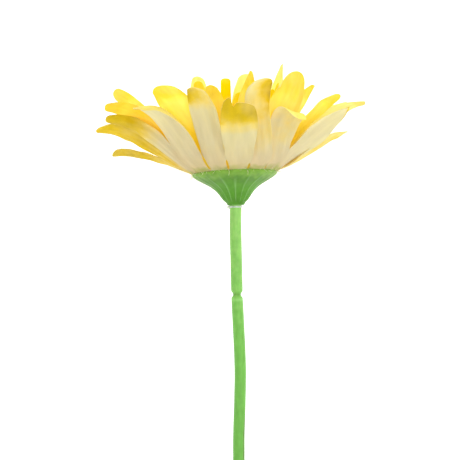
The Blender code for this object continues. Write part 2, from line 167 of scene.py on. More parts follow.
def scale_for(size):
    """The scale of a noise, on coordinates in metres, that gives blotches of a size in millimetres."""
    return 1 / (size * MM)


def blank(name):
    """A material with an empty tree."""
    made = bpy.data.materials.new(name)
    made.use_nodes = True
    made.node_tree.nodes.clear()
    return made, made.node_tree


print("the yellow #FCDB3C is", [round(part, 3) for part in colour("#FCDB3C")[:3]], "in linear light")

# %% [markdown]
# ## Cloth for the petals: stiffened polyester taffeta
#
# Taffeta is a tight plain weave, so it looks smooth, with a dry sheen and fine streaks along the
# pressed veins. The dye is sprayed on: the faces are yellow and deeper at the root, and paler at the
# tip, which is partly painted light where a single layer glows. The backs of the outer petals are
# cream with olive-yellow tips, and how strong and how slanted that olive is, petal by petal, is
# partly painted shade on tips that curl away from the light. The cloth is thin, so light comes
# through it. A Translucent shader mixed with the Principled one gives that glow.
#
# Each sheet carries what the shader needs as values on its points: how far along the petal, which
# face of the cloth, how much of the tip's dye and painted shade, and how deep the petal's colour
# is, partly its own and partly painted shade. Its UV map is in millimetres across and along the
# petal, so that threads and streaks follow the cloth.
#
# Low on the backs the calyx's green has rubbed off. The roots of the yellow sheets shine a little by
# themselves, which stands for light that has come through several layers of cloth between them.
#
# The first step is the colour without any pattern. Color Ramps read it from the place along the
# petal, one for each face, and a cloud makes the ends of the rubbed green and of the dye ragged.

# %% Colour of a petal
DYE_CLOUD = 6.0  # mm, the size of the raggedness where sprayed dye ends
FACE_STOPS = (0, 0.4, 1)  # shares of a petal
BACK_STOPS = (0, 0.08, 0.35, 1)  # the first is where the calyx's green has rubbed off
DYE_STOPS = (0.3, 1)  # faint and full dye
ROOT_RAGS = 0.25  # how ragged the green's end is, as a share of a petal
TIP_RAGS = 0.7  # and the dye's, as a share of its strength
DEEPEST = 0.75  # the share of the deep colour, partly painted shade, in the deepest petals


def petal_colour(tree, here, face, back, dye, deep):
    """The plain colour of a petal, with its painted shade, and how much of it is dye and shade."""
    along, dyed, reverse = (carried(tree, name) for name in ("along", "dye", "reverse"))
    cloud = add(tree, "ShaderNodeTexNoise", {"Vector": here, "Scale": scale_for(DYE_CLOUD), "Detail": 3})
    ragged = add(tree, "ShaderNodeMath", {0: cloud, 1: 0.5}, operation="SUBTRACT")
    worn = add(tree, "ShaderNodeMath", {0: ragged, 1: ROOT_RAGS, 2: along}, operation="MULTIPLY_ADD")
    spread = add(tree, "ShaderNodeMath", {0: ragged, 1: TIP_RAGS, 2: dyed}, operation="MULTIPLY_ADD")
    face_colour = add(tree, "ShaderNodeValToRGB", {"Fac": along}, stops=list(zip(FACE_STOPS, face)))
    back_colour = add(tree, "ShaderNodeValToRGB", {"Fac": worn}, stops=list(zip(BACK_STOPS, back)))
    dye_colour = add(tree, "ShaderNodeValToRGB", {"Fac": spread}, stops=list(zip(DYE_STOPS, dye)))
    amount = add(tree, "ShaderNodeMapRange", {0: spread, 1: 0, 2: 0.6, 3: 0, 4: 1})
    gated = add(tree, "ShaderNodeMapRange", {0: dyed, 1: 0, 2: 0.12, 3: 0, 4: amount})
    on_back = add(tree, "ShaderNodeMath", {0: gated, 1: reverse}, operation="MULTIPLY")
    both = blended(tree, reverse, face_colour, back_colour)
    # the deep colour stands partly for painted shade on petals that lie deep in the bloom
    depth = add(tree, "ShaderNodeMapRange", {0: carried(tree, "petal"), 1: 0.3, 2: 1, 3: 0, 4: DEEPEST})
    deepened_and_shaded = blended(tree, depth, both, colour(deep))
    return blended(tree, on_back, deepened_and_shaded, dye_colour), gated


print("a petal's back changes colour at", BACK_STOPS[1:], "of its length")

# %% [markdown]
# Pressing leaves faint streaks along a petal, and the dye is bleached in patches. The streaks are
# a noise on the UV map, drawn out along the petal. They change how light the colour is, and the
# patches how full it is.

# %% Streaks and patches
STREAK = (2.6, 16.0)  # mm across and along
BLEACHED = 9.0  # mm, the size of the paler patches


def streaked(tree, here, threads, tint):
    drawn_out = (1 / STREAK[0], 1 / STREAK[1], 1)
    stretched = add(tree, "ShaderNodeMapping", {"Vector": threads, "Scale": drawn_out})
    streaks = add(tree, "ShaderNodeTexNoise", {"Vector": stretched, "Scale": 1, "Detail": 3})
    tone = add(tree, "ShaderNodeMapRange", {0: streaks, 1: 0.3, 2: 0.7, 3: 0.92, 4: 1.05})
    patches = add(tree, "ShaderNodeTexNoise", {"Vector": here, "Scale": scale_for(BLEACHED), "Detail": 4})
    fullness = add(tree, "ShaderNodeMapRange", {0: patches, 1: 0.4, 2: 0.65, 3: 1.02, 4: 0.9})
    both = {"Value": tone, "Saturation": fullness, "Color": tint}
    return add(tree, "ShaderNodeHueSaturation", both)


print(f"streaks of {STREAK[0]} x {STREAK[1]} mm, patches of {BLEACHED} mm")

# %% [markdown]
# The weave is two Wave textures at right angles, one for the threads along the petal and one for
# those across. Their sum feeds a Bump node, with a very small strength: the cloth is pressed.

# %% Weave
BAND = 2 * math.pi / 20  # the length that a Wave texture of scale 1 turns into one band
THREAD = 0.9  # mm: real threads are 0.15 mm apart, too fine for this picture to show


def woven(tree, threads):
    spacing = {"Vector": threads, "Scale": BAND / THREAD, "Distortion": 0.4}
    warp = add(tree, "ShaderNodeTexWave", spacing, bands_direction="X").outputs["Fac"]
    weft = add(tree, "ShaderNodeTexWave", spacing, bands_direction="Y").outputs["Fac"]
    weave = add(tree, "ShaderNodeMath", {0: warp, 1: weft})
    return add(tree, "ShaderNodeBump", {"Height": weave, "Strength": 0.06, "Distance": 0.05 * MM})


print(f"threads {THREAD} mm apart")

# %% [markdown]
# Now the parts come together. What the cloth lets through is a mix of its own colour and a warm
# glow, and under thick dye there is less of the glow.

# %% Petal cloth
LIT_ROOT = (0.12, 0.3)  # shares of a petal between which the light from other layers fades


def petal_cloth(name, face, back, dye, deep, glow, see_through, root_light=0.0):
    """Colours root to tip, of dye and painted shade, faint to full, of the deepest petals, and let through.
    """
    made, tree = blank(name)
    along = carried(tree, "along")
    threads = add(tree, "ShaderNodeUVMap", uv_map="cloth")
    here = add(tree, "ShaderNodeTexCoord").outputs["Object"]
    plain, dye_amount = petal_colour(tree, here, face, back, dye, deep)
    toned = streaked(tree, here, threads, plain)
    bump = woven(tree, threads)
    airy = add(tree, "ShaderNodeMapRange", {0: dye_amount, 1: 0, 2: 1, 3: 0.5, 4: 0.25})
    through = blended(tree, airy, toned, colour(glow))
    at_root = add(
        tree, "ShaderNodeMapRange", {0: along, 1: LIT_ROOT[0], 2: LIT_ROOT[1], 3: root_light, 4: 0}
    )
    surface = add(
        tree,
        "ShaderNodeBsdfPrincipled",
        {
            "Base Color": toned,
            "Normal": bump,
            "Roughness": 0.8,
            "Specular IOR Level": 0.12,
            "Sheen Weight": 0.04,
            "Sheen Roughness": 0.5,
            "Emission Color": through,
            "Emission Strength": at_root,
        },
    )
    lit_behind = add(tree, "ShaderNodeBsdfTranslucent", {"Color": through, "Normal": bump})
    mixed = add(tree, "ShaderNodeMixShader", {0: see_through, 1: surface, 2: lit_behind})
    add(tree, "ShaderNodeOutputMaterial", {"Surface": mixed})
    return made


print(f"light from other layers reaches up to {LIT_ROOT[1]:.0%} of a petal")

# %% Four cloths
cloths = {
    "petals_outer": petal_cloth(
        "polyester_taffeta_cream_backed",
        ("#F4C022", "#FFE650", "#FFEE78"),
        ("#9CB45C", "#D6D0AC", "#E0E0BE", "#E5E5C4"),
        ("#F6DC3C", "#C8AE04"),
        "#DAD2A0",
        "#FFF6CC",
        0.4,
    ),
    # the middle sheet's pale tips, on face and back, are partly painted light: single layers glowing
    # against the light
    "petals_middle": petal_cloth(
        "polyester_taffeta_yellow",
        ("#FFE04C", "#FFEE58", "#FFFFB0"),
        ("#C2C444", "#C2C444", "#FFEE58", "#FFFCA8"),
        ("#FFF068", "#F0DC50"),
        "#F4C404",
        "#FFF47C",
        0.55,
        0.4,
    ),
    # the inner sheet's deeper yellow is partly painted shade, for petals that stand deep in the bloom
    "petals_inner": petal_cloth(
        "polyester_taffeta_deep_yellow_with_painted_shade",
        ("#FFD020", "#FFE010", "#FFEE20"),
        ("#C2C444", "#C2C444", "#FFE010", "#FFEE20"),
        ("#FFEE20", "#FFEE20"),
        "#FFD000",
        "#FFEA10",
        0.5,
        0.35,
    ),
    "fringe": petal_cloth(
        "polyester_taffeta_strips",
        ("#F0C030", "#FFD640", "#FFE768"),
        ("#F0C030", "#F0C030", "#FFD640", "#FFE768"),
        ("#FFE768", "#FFE768"),
        "#FFD22C",
        "#FFE04A",
        0.45,
    ),
}
print("cloths:", ", ".join(cloth.name for cloth in cloths.values()))

# %% [markdown]
# ## The petals' outlines and bends
#
# Each ring of petals is one piece of cloth, so it is drawn as one: a shallow dish round the peg,
# and petals that start where the die's slits end. A petal is a strip along a bent spine. Its width
# follows a curve from the root to the widest place and down to the tip, it is hollow like a
# gutter, and it may lean and twist. The petals of the two lower sheets are bent one by one, those
# in front after the picture, and most of the inner sheet's differ by a seeded draw.

# %% Sizes of the cloth
RIM_RADIUS = 17.6 * MM
DISH_SLOPE = math.radians(20)
LAYER_STEP = 1.15 * MM  # from one sheet to the next
HUB_HOLE = 2.4 * MM  # radius
CLOTH = 0.3 * MM
SPINE_STEPS = 96
SECTION_STEPS = 8
NOTCH_WIDTH = 0.24  # half widths
SIZE_SPREAD = 0.06  # the spreads say how far a petal may differ from the usual one
RISE_SPREAD = (1.0, 5.0, 8.0)  # degrees at the root, the middle and the tip
LEAN_SPREAD = 6.0  # degrees
TWIST_SPREAD = (5.0, 10.0)  # degrees at the middle and the tip
BLUNT_SPREAD = 0.3
DEPTH_SPREAD = 0.4
print(f"rim {2 * RIM_RADIUS / MM:.1f} mm across, cloth {CLOTH / MM:.1f} mm thick")


# %% What describes a petal
class Petal(NamedTuple):
    """Outline and bend of a petal: millimetres, degrees, and shares of its length or width."""

    length: float
    width: float
    rise: tuple  # slope at the root, the middle and the tip
    lean: float = 0.0
    twist: tuple = (0.0, 0.0)  # at the middle and the tip
    cup: tuple = (18.0, 10.0)  # half angle of the cross arc at the middle and the tip
    blunt: float = 0.6
    widest: float = 0.62
    roll: tuple = (0.0, 0.0)  # how far the left and the right edge are rolled back
    slant: float = 0.0  # how much longer the right edge is than the left
    square: float = 0.0  # 0 for a round tip, 1 for one cut straight across
    notch: float = 0.0
    notch_side: float = 0.0
    lobe: float = 0.0  # how much longer the tip is left of its notch
    dyed: float = 0.2  # share of its back that has the tip's dye, which is partly painted shade
    dye: float = 1.0  # how strong the dye is there, partly painted shade
    dye_and_shade_aslant: float = 0.0  # how much more of the dye and painted shade the right edge of the tip has than the left
    depth: float = 0.5  # how deep its colour is, from 0 to 1, partly its own and partly painted shade
    hook: float = 0.0  # a last sideways bend, near the tip


print("a petal has", len(Petal._fields), "values, most of them usual ones")


# %% What describes a sheet
class Layer(NamedTuple):
    """One sheet of cloth, cut into a ring of petals."""

    name: str
    count: int
    first: float  # degrees round the flower to the first petal, from the front to the right
    slit_radius: float  # where the slits between the petals end
    slit: float  # how wide they are there
    flare: float  # 1 for petals that widen at once, more for ones that stay narrow at the root
    level: int  # how many sheets lie under it
    rows: int  # faces along a petal
    columns: int  # and across
    usual: Petal
    spread: float  # how much the petals differ from the usual one
    seed: int
    posed: dict  # the petals bent one by one, by number


print("a sheet has", len(Layer._fields), "values")

# %% [markdown]
# The outer sheet is the one that the picture shows best. Its petals number 11 to 13 and 0 to 3 are
# the cream ones in front, from left to right. Some of them have a part of the picture's outline to
# themselves, so they take the most values: a notch, a rolled edge, a hooked tip.

# %% Outer sheet
OUTER = Layer(
    name="petals_outer",
    count=14,
    first=5.0,
    slit_radius=RIM_RADIUS,
    slit=1.1 * MM,
    flare=1.0,
    level=0,
    rows=48,
    columns=24,
    usual=Petal(46, 14, (32, 44, 46)),
    spread=1.0,
    seed=4,
    # the dye values here are partly painted shade on tips that curl away from the light, and the depth
    # values partly painted shade too
    posed={
        0: Petal(
            41.4,
            15.2,
            (32, 34, 42),
            -4.0,
            cup=(12, 10),
            blunt=0.88,
            widest=0.75,
            square=0.3,
            notch=0.05,
            notch_side=-0.34,
            lobe=0.09,
            dyed=0.38,
            dye=0.85,
            depth=0.75,
        ),
        1: Petal(
            45.5,
            10.5,
            (24, 67, 10),
            -50,
            (0, -2),
            (12, 8),
            blunt=0.9,
            widest=0.9,
            roll=(0, 50),
            dyed=0.68,
            dye=0.42,
            dye_and_shade_aslant=1.3,
            depth=0.2,
            hook=52,
        ),
        2: Petal(
            37,
            14,
            (34, 62, -74),
            -28,
            (0, -20),
            (12, 8),
            blunt=0.8,
            widest=0.75,
            roll=(0, 60),
            square=0.6,
            dyed=0.8,
            dye=0.18,
            dye_and_shade_aslant=0.8,
            depth=0.2,
        ),
        3: Petal(37.5, 15.5, (40, 38, 28), 20, (-32, -45), (12, 8), 0.5, 0.6, (30, 0), -0.16, dyed=0.02),
        4: Petal(52, 14, (32, 44, 0), -4, (30, 25), (12, 8), 0.15, 0.45, dyed=0.1),
        5: Petal(50.5, 13.5, (14, 26, 18), -8, (-28, -20), (12, 8), 0.5, dyed=0.8, dye=0.4),
        6: Petal(47, 14, (28, 42, 74), 0, (12, 24), (10, 2)),
        7: Petal(45, 14, (32, 52, 70)),
        8: Petal(47, 14, (28, 42, 74), 0, (-13, -26), (10, 2)),
        9: Petal(45, 10, (18, 22, -6), 8, (16, 15), (14, 10), 0.75, slant=-0.05, dyed=0.75, dye=0.85),
        10: Petal(47.2, 16.5, (30, 35, -11), -1, (24, 13), (14, 10), 0.6, dyed=1.1, dye=0.7),
        11: Petal(45, 12.5, (36, 41, 0), -23, (24, 22), (18, 16), 0.45, dyed=0.5, dye=0.85),
        12: Petal(46, 17, (24, 53, -30), -7, (2, -8), (16, 0), 0.7, roll=(0, 70), slant=0.05, dyed=0.06),
        13: Petal(
            45,
            12.5,
            (28, 56, 12),
            7,
            (-10, -4),
            (20, 6),
            blunt=0.7,
            roll=(0, 40),
            dyed=0.28,
            dye=0.6,
            dye_and_shade_aslant=-0.7,
        ),
    },
)
print(f"outer sheet: {OUTER.count} petals, {len(OUTER.posed)} of them bent one by one")

# %% Middle sheet
MIDDLE = Layer(
    name="petals_middle",
    count=14,
    first=15.0,
    slit_radius=13.4 * MM,
    slit=1.4 * MM,
    flare=1.4,
    level=1,
    rows=48,
    columns=20,
    usual=Petal(48, 12.5, (46, 64, 66)),
    spread=0.8,
    seed=11,
    # the depth values here are partly painted shade, deeper where a petal lies in shade
    posed={
        0: Petal(42.5, 11, (56, 74, 72), 9, cup=(24, 16), blunt=0.15, widest=0.5, depth=0.1),
        1: Petal(45.5, 22, (67, 56, 84), 36, (-16, -22), (16, 16), 0.8, 0.62, dyed=0.3, depth=0.5),
        2: Petal(42, 13, (58, 60, 44), 20, (-20, -42), (20, 24), 0.15, 0.42, depth=0.2),
        3: Petal(46, 11, (46, 47, 26), 6, (-20, -28), (20, 20), 0.8, depth=0.45),
        4: Petal(55, 8, (46, 38, 14), 4, cup=(24, 20), blunt=0.3, depth=0.2),
        5: Petal(54.5, 8, (48, 70, 70), -8.5, cup=(24, 8), blunt=0.15, depth=0.2),
        6: Petal(50, 12.5, (50, 72, 74), -5, depth=0.1),
        7: Petal(42, 11, (50, 66, 60), 0, (8, 10)),
        8: Petal(47.5, 10.5, (54, 76, 80), -28, (6, 10), depth=0.2),
        9: Petal(44, 12, (42, 44, 38)),
        10: Petal(55, 12, (46, 47, 27), -30, (30, 44), blunt=0.8, depth=0.0),
        11: Petal(52, 13.5, (39, 41, 0), -24, (20, 26), (18, 14), 0.4, depth=1.0),
        12: Petal(49, 15, (42, 49, 24), -2, (8, 12), (16, 4), 0.8, 0.7, depth=0.3),
        13: Petal(39.5, 9.5, (48, 64, 50), -10, cup=(20, 24), depth=0.65),
    },
)
print(f"middle sheet: {MIDDLE.count} petals, {len(MIDDLE.posed)} of them bent one by one")

# %% Inner sheet
INNER = Layer(
    name="petals_inner",
    count=12,
    first=-10.0,
    slit_radius=11.2 * MM,
    slit=1.0 * MM,
    flare=1.4,
    level=2,
    rows=36,
    columns=10,
    usual=Petal(38, 8.8, (64, 76, 76), cup=(20, 14)),
    spread=0.6,
    seed=7,
    posed={
        0: Petal(39.5, 4.4, (64, 75, 60), 12, blunt=0.9, square=0.5),
        1: Petal(41, 6, (64, 76, 76), 8, blunt=0.25),
        2: Petal(35, 7, (62, 74, 68)),
        10: Petal(32, 8, (64, 78, 80)),
    },
)
print(f"inner sheet: {INNER.count} petals, {len(INNER.posed)} of them bent one by one")

# %% [markdown]
# ## From an outline to points in space
#
# The pressed relief is real geometry: a few long veins, soft buckles and a slightly wavy edge. It
# is shallow at the root, where the cloth is held, and grows towards the tip. Just above the calyx
# the outer petals' edges lie on one another, so each of their slits is a short open mouth with a
# closed stretch above it.

# %% Relief and overlap
VEINS = 3
VEIN_DEPTH = 0.14 * MM
BUCKLE = 0.9 * MM
EDGE_WAVE = 0.7 * MM
OVERLAP = 0.75 * MM
SHINGLE = 0.25 * MM
PETAL_STEP = 7.3  # how far apart two petals' reliefs are drawn from the noise
BUCKLE_FINENESS = (2.6, 0.8)  # along and across the petal
WAVE_FINENESS = 6.5
EASE = 2.5  # mm over which two edges come together or part
SLIT_MOUTHS = {11: 4.0, 12: 7.8, 13: 6.0, 0: 3.4, 1: 6.0}  # mm, for the slit after each petal
USUAL_MOUTH = 4.0
SLIT_CLOSED = 11.0  # mm from the rim to where the edges part again


def eased(value, start, end):
    """0 up to start, 1 from end on, and a smooth step between them."""
    share = min(1, max(0, (value - start) / (end - start)))
    return share * share * (3 - 2 * share)


def closing(number, distance):
    """How far the slit after a petal is closed, at a distance from the rim in millimetres."""
    mouth = SLIT_MOUTHS.get(number, USUAL_MOUTH)
    parting = 1 - eased(distance, SLIT_CLOSED - EASE, SLIT_CLOSED + EASE)
    return eased(distance, mouth - EASE / 2, mouth + EASE / 2) * parting


def relief(layer, number, share, side):
    """How far the cloth is pushed up from its smooth arc."""
    grown = eased(share, 0, 0.25)
    veins = VEIN_DEPTH * math.cos(math.pi * VEINS * side) * grown * (1 - share**4)
    place = number * PETAL_STEP + layer.seed
    lengthwise, crosswise = BUCKLE_FINENESS
    buckle = BUCKLE * noise.noise(Vector((place, share * lengthwise, side * crosswise)))
    edge = EDGE_WAVE * side**4 * noise.noise(Vector((place, share * WAVE_FINENESS, 20 + side)))
    return veins + (buckle + edge) * share * grown


print("slit mouths, mm:", SLIT_MOUTHS)


# %% Directions, and the hub
def through(values, share):
    """The smooth curve through a root, a middle and a tip value."""
    root, middle, tip = values
    ends = root * (1 - share) * (1 - 2 * share) + tip * share * (2 * share - 1)
    return ends + middle * 4 * share * (1 - share)


def outward(azimuth):
    return Vector((math.sin(azimuth), -math.cos(azimuth), 0))


def sideways(azimuth):
    return Vector((math.cos(azimuth), math.sin(azimuth), 0))


def hub_height(radius, level):
    return level * LAYER_STEP - (RIM_RADIUS - radius) * math.tan(DISH_SLOPE)


def hub_point(radius, level, azimuth):
    return outward(azimuth) * radius + UP * hub_height(radius, level)


print(f"the dish is {-hub_height(HUB_HOLE, 0) / MM:.1f} mm deep at the hole")


# %% Petals that differ
def petals_of(layer):
    """The petals bent one by one, and the rest varied by a seeded draw."""
    draw = random.Random(layer.seed)
    petals = []
    for number in range(layer.count):
        usual = layer.usual
        changes = [draw.uniform(-1, 1) * layer.spread for _ in range(6)]
        varied = usual._replace(
            length=usual.length * (1 + SIZE_SPREAD * changes[0]),
            width=usual.width * (1 + SIZE_SPREAD * changes[1]),
            rise=tuple(angle + spread * changes[2] for angle, spread in zip(usual.rise, RISE_SPREAD)),
            lean=LEAN_SPREAD * changes[3],
            twist=tuple(spread * changes[4] for spread in TWIST_SPREAD),
            blunt=usual.blunt * (1 + BLUNT_SPREAD * changes[5]),
            depth=usual.depth + DEPTH_SPREAD * changes[1],
        )
        petals.append(layer.posed.get(number, varied))
    return petals


print("outer petals, mm long:", [round(petal.length) for petal in petals_of(OUTER)])

# %% [markdown]
# A petal is then worked out in three steps: how wide it is at each place, how its spine runs
# through space, and how its cross section is hollowed and rolled. The last function puts them
# together for one point, and adds the tip's outline, the relief and the closed part of the slits.

# %% Width and spine
HOOK_START = 0.45  # share of the length where a hooked petal starts to bend


def half_width(layer, petal, share):
    root = layer.slit_radius * math.tan(math.pi / layer.count) - layer.slit / 2
    full = petal.width * MM / 2
    if share < petal.widest:
        return root + (full - root) * math.sin(math.pi / 2 * share / petal.widest) ** layer.flare
    past = (share - petal.widest) / (1 - petal.widest)
    return full * (1 - (1 - petal.blunt) * past**2)


def spine(layer, petal, azimuth):
    """Point, direction along and direction across at each step down the middle of a petal."""
    point = hub_point(layer.slit_radius, layer.level, azimuth)
    step = petal.length * MM / SPINE_STEPS
    frames = []
    for number in range(SPINE_STEPS + 1):
        share = number / SPINE_STEPS
        rise = math.radians(through(petal.rise, share))
        bend = petal.lean * (1 - (1 - share) ** 3) + petal.hook * eased(share, HOOK_START, 1)
        heading = azimuth + math.radians(bend)
        along = outward(heading) * math.cos(rise) + UP * math.sin(rise)
        flat = sideways(heading)
        turn = math.radians(through((0, *petal.twist), share))
        across = flat * math.cos(turn) + along.cross(flat) * math.sin(turn)
        frames.append((point.copy(), along, across))
        point = point + along * step
    return frames


print("an outer petal's root is", round(2 * half_width(OUTER, OUTER.usual, 0) / MM, 1), "mm wide")

# %% Hollow section
ROLL_ALONG = (0.2, 0.75)  # shares of the length between which a rolled edge comes in
ROLL_ACROSS = 0.45  # share of the half width where the roll starts


def section(petal, layer, share, side):
    """How far across and up a point of the hollow strip is, in half widths, and its edges rolled."""
    cups = (math.pi / layer.count, *(math.radians(angle) for angle in petal.cup))
    cup = through(cups, share)
    roll = math.radians(petal.roll[side > 0]) * eased(share, *ROLL_ALONG)
    across = up = 0.0
    for step in range(SECTION_STEPS):
        place = abs(side) * (step + 0.5) / SECTION_STEPS
        slope = cup * place - roll * eased(place, ROLL_ACROSS, 1)
        across += math.cos(slope) * side / SECTION_STEPS
        up += math.sin(slope) * abs(side) / SECTION_STEPS
    return across, up


print("half way up, the edge of an outer petal stands", end=" ")
print(f"{section(OUTER.usual, OUTER, 0.5, 1)[1]:.2f} half widths above its middle")


# %% One point of a petal
def petal_point(layer, petals, number, frames, share, side):
    """A point of the sheet's middle, and its place on the flat cloth in millimetres."""
    petal = petals[number]
    corner = (1 - petal.square) * petal.blunt * petal.width / 2 / petal.length
    waist_shade = petal.notch * max(0, 1 - abs(side - petal.notch_side) / NOTCH_WIDTH) ** 1.5
    lobe = petal.lobe * (1 - eased(side, petal.notch_side - NOTCH_WIDTH, petal.notch_side))
    fall = corner * (1 - math.sqrt(1 - side * side)) + waist_shade - petal.slant * side - lobe
    reach = share - fall * share**4
    station = min(SPINE_STEPS, max(0, round(reach * SPINE_STEPS)))
    point, along, across = frames[station]
    point = point + along * (reach - station / SPINE_STEPS) * petal.length * MM
    half = half_width(layer, petal, share)
    aside, up = section(petal, layer, share, side)
    inward = along.cross(across)
    lift = relief(layer, number, share, side)
    over = 0
    if layer is OUTER and side:
        slit = number if side > 0 else (number - 1) % layer.count
        shut = closing(slit, share * petal.length) * side * side
        higher = petals[slit].rise[0] >= petals[(slit + 1) % layer.count].rise[0]
        lift += SHINGLE * shut * (1 if higher == (side > 0) else -1)
        over = OVERLAP * shut * math.copysign(1, side)
    point = point + across * (half * aside + over) + inward * (half * up + lift)
    return point, (side * half / MM, reach * petal.length)


front_petals = petals_of(OUTER)
front_spine = spine(OUTER, front_petals[0], math.radians(OUTER.first))
tip, _ = petal_point(OUTER, front_petals, 0, front_spine, 1, 0)
print(f"the tip of the front petal is {tip.z / MM:.1f} mm above the rim")

# %% [markdown]
# ## One sheet with two faces
#
# The hub is a ring of fine bands from the hole to the slits, and the grids of the petals share its
# last row of points, so the whole sheet is one piece. It is then given its thickness on both
# sides, with the same triangles above and below: the two faces can't meet, even where the cloth
# is bent hard. Where its lowest tips would dip into the table they are pressed flat, as cloth is.

# %% One net of points
HUB_BANDS = 4
DYE_EDGE = (1.3, 0.35)  # where the dye starts and is full, in lengths of the dyed part from the tip
ASLANT_EDGE = (0.55, 0.95)  # shares of the length between which it goes aslant


def cloth_sheet(layer):
    """Points, quads and per-point values of a sheet's middle surface."""
    points, quads, flats, values = [], [], [], []
    petals = petals_of(layer)

    def put(point, flat, along, number, dye):
        points.append(point)
        flats.append(flat)
        values.append((along, petals[number].depth, dye))
        return len(points) - 1

    half = math.pi / layer.count
    columns = layer.columns
    around = layer.count * columns
    first = math.radians(layer.first)
    rings = []
    for band in range(HUB_BANDS + 1):
        radius = HUB_HOLE + (layer.slit_radius - HUB_HOLE) * band / HUB_BANDS
        ring = []
        for place in range(around):
            azimuth = first - half + 2 * math.pi * place / around
            flat = (azimuth * radius / MM, (radius - layer.slit_radius) / MM)
            ring.append(put(hub_point(radius, layer.level, azimuth), flat, 0, place // columns, 0))
        rings.append(ring)
    for low, high in zip(rings, rings[1:]):
        for place in range(around):
            beside = (place + 1) % around
            quads.append((low[place], high[place], high[beside], low[beside])[::-1])
    for number, petal in enumerate(petals):
        frames = spine(layer, petal, first + 2 * half * number)
        row = [rings[-1][(number * columns + column) % around] for column in range(columns + 1)]
        for step in range(1, layer.rows + 1):
            share = step / layer.rows
            # the tip's dye, partly painted shade on tips that curl away from the light
            dye = petal.dye * eased(share, *(1 - petal.dyed * edge for edge in DYE_EDGE))
            aslant = petal.dye_and_shade_aslant * eased(share, *ASLANT_EDGE)
            upper = []
            for column in range(columns + 1):
                side = 2 * column / columns - 1
                point, flat = petal_point(layer, petals, number, frames, share, side)
                upper.append(put(point, flat, share, number, dye * (1 + aslant * side)))
            for a, b, c, d in zip(row, row[1:], upper[1:], upper):
                quads.append((a, b, c, d))
            row = upper
    return points, quads, flats, values


print("the outer sheet has", OUTER.count * OUTER.columns, "points round each ring of its hub")


# %% Two faces
def corner_normals(points, faces):
    normals = [Vector() for _ in points]
    for face in faces:
        a, b, c, d = (points[corner] for corner in face)
        normal = (c - a).cross(d - b).normalized()
        for corner in face:
            normals[corner] += normal
    return [normal.normalized() for normal in normals]


def two_faced(points, quads, thickness):
    """The back of a sheet and then its face, joined round the edges and cut into the same triangles."""
    count = len(points)
    normals = corner_normals(points, quads)
    back = [point + normal * thickness / 2 for point, normal in zip(points, normals)]
    face = [point - normal * thickness / 2 for point, normal in zip(points, normals)]
    faces = list(quads) + [tuple(corner + count for corner in (a, d, c, b)) for a, b, c, d in quads]
    edges = {pair for quad in quads for pair in zip(quad, quad[1:] + quad[:1])}
    faces += [(b, a, a + count, b + count) for a, b in sorted(edges) if (b, a) not in edges]
    return back + face, faces


patch = [Vector((0, 0, 0)), Vector((1, 0, 0)), Vector((1, 1, 0)), Vector((0, 1, 0))]
print("one quad with two faces and its rim has", len(two_faced(patch, [(0, 1, 2, 3)], CLOTH)[1]), "faces")

# %% A piece from its points
SHARP_FOLD = math.radians(50)  # edges bent more than this are shaded sharp


def mesh_piece(name, points, faces, finish, slot, **point_values):
    """A smooth piece that rides on the flower, with values on its points for its material."""
    mesh = bpy.data.meshes.new(name)
    mesh.from_pydata(points, [], faces)
    mesh.materials.append(finish)
    mesh.shade_smooth()
    mesh.set_sharp_from_angle(angle=SHARP_FOLD)
    for label, numbers in point_values.items():
        mesh.attributes.new(label, "FLOAT", "POINT").data.foreach_set("value", numbers)
    piece = bpy.data.objects.new(name, mesh)
    bpy.context.scene.collection.objects.link(piece)
    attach(piece, "root")
    return piece


print(f"folds sharper than {math.degrees(SHARP_FOLD):.0f} degrees are shaded sharp")


# %% Cut, thicken and press the three sheets
def flat_cut(layer):
    """Side of the square of cloth that a ring is cut from, and the ring's own area."""
    petals = petals_of(layer)
    steps = [(step + 0.5) / layer.rows for step in range(layer.rows)]
    area = math.pi * (layer.slit_radius**2 - HUB_HOLE**2)
    for petal in petals:
        widths = [2 * half_width(layer, petal, share) for share in steps]
        area += sum(widths) / layer.rows * petal.length * MM
    return 2 * (layer.slit_radius + max(petal.length for petal in petals) * MM), area


def make_sheet(layer, name):
    points, quads, flats, values = cloth_sheet(layer)
    points, faces = two_faced(points, quads, CLOTH)
    points = [head @ point for point in points]
    count = len(points) // 2
    for number in range(count):
        dip = max(0, -min(points[number].z, points[number + count].z))
        points[number].z += dip
        points[number + count].z += dip
    along, petal, dye = (list(column) * 2 for column in zip(*values))
    piece = mesh_piece(
        name,
        points,
        faces,
        cloths[layer.name],
        layer.name,
        along=along,
        petal=petal,
        dye=dye,
        reverse=[1.0] * count + [0.0] * count,
    )
    corners = np.empty(len(piece.data.loops), int)
    piece.data.loops.foreach_get("vertex_index", corners)
    cloth_map = piece.data.uv_layers.new(name="cloth")
    cloth_map.data.foreach_set("uv", np.array(flats + flats)[corners].ravel())
    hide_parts(layer.name)
    side, area = flat_cut(layer)
    print(f"{name}: cut from {side / MM:.0f} mm square, {area * 1e4:.0f} square cm, {len(faces)} faces")


make_sheet(OUTER, "outer_petals")
make_sheet(MIDDLE, "middle_petals")
make_sheet(INNER, "inner_petals")

# %% [markdown]
# ## Soft green plastic for the calyx and the stem
#
# Both are polyethylene, moulded in two halves. It has a low gloss and lets a little light in, which
# softens its shadows, so it gets a small subsurface amount. The calyx is a mid green, lighter and
# yellower towards its rim, and its ribs catch more light and are thinner, so they look pale: both
# the lighter rim and the pale ribs are painted highlights. The stem is a fresher, lighter green,
# with faint streaks along it and a ring of painted highlight below its waist. Handling has left a
# little dirt on it, its waist has a ring of painted shade, and values on its points say where.


# %% Green plastics
MOULD_CLOUD = 2.4  # mm, the size of the blotches where the plastic is thinner
BLOTCH = 0.45  # how far a blotch shifts the colour, as a share of the piece
# the colour of dirt on the stem, and of the painted shade in its waist
DIRT_AND_SHADE = "#4E3E20"


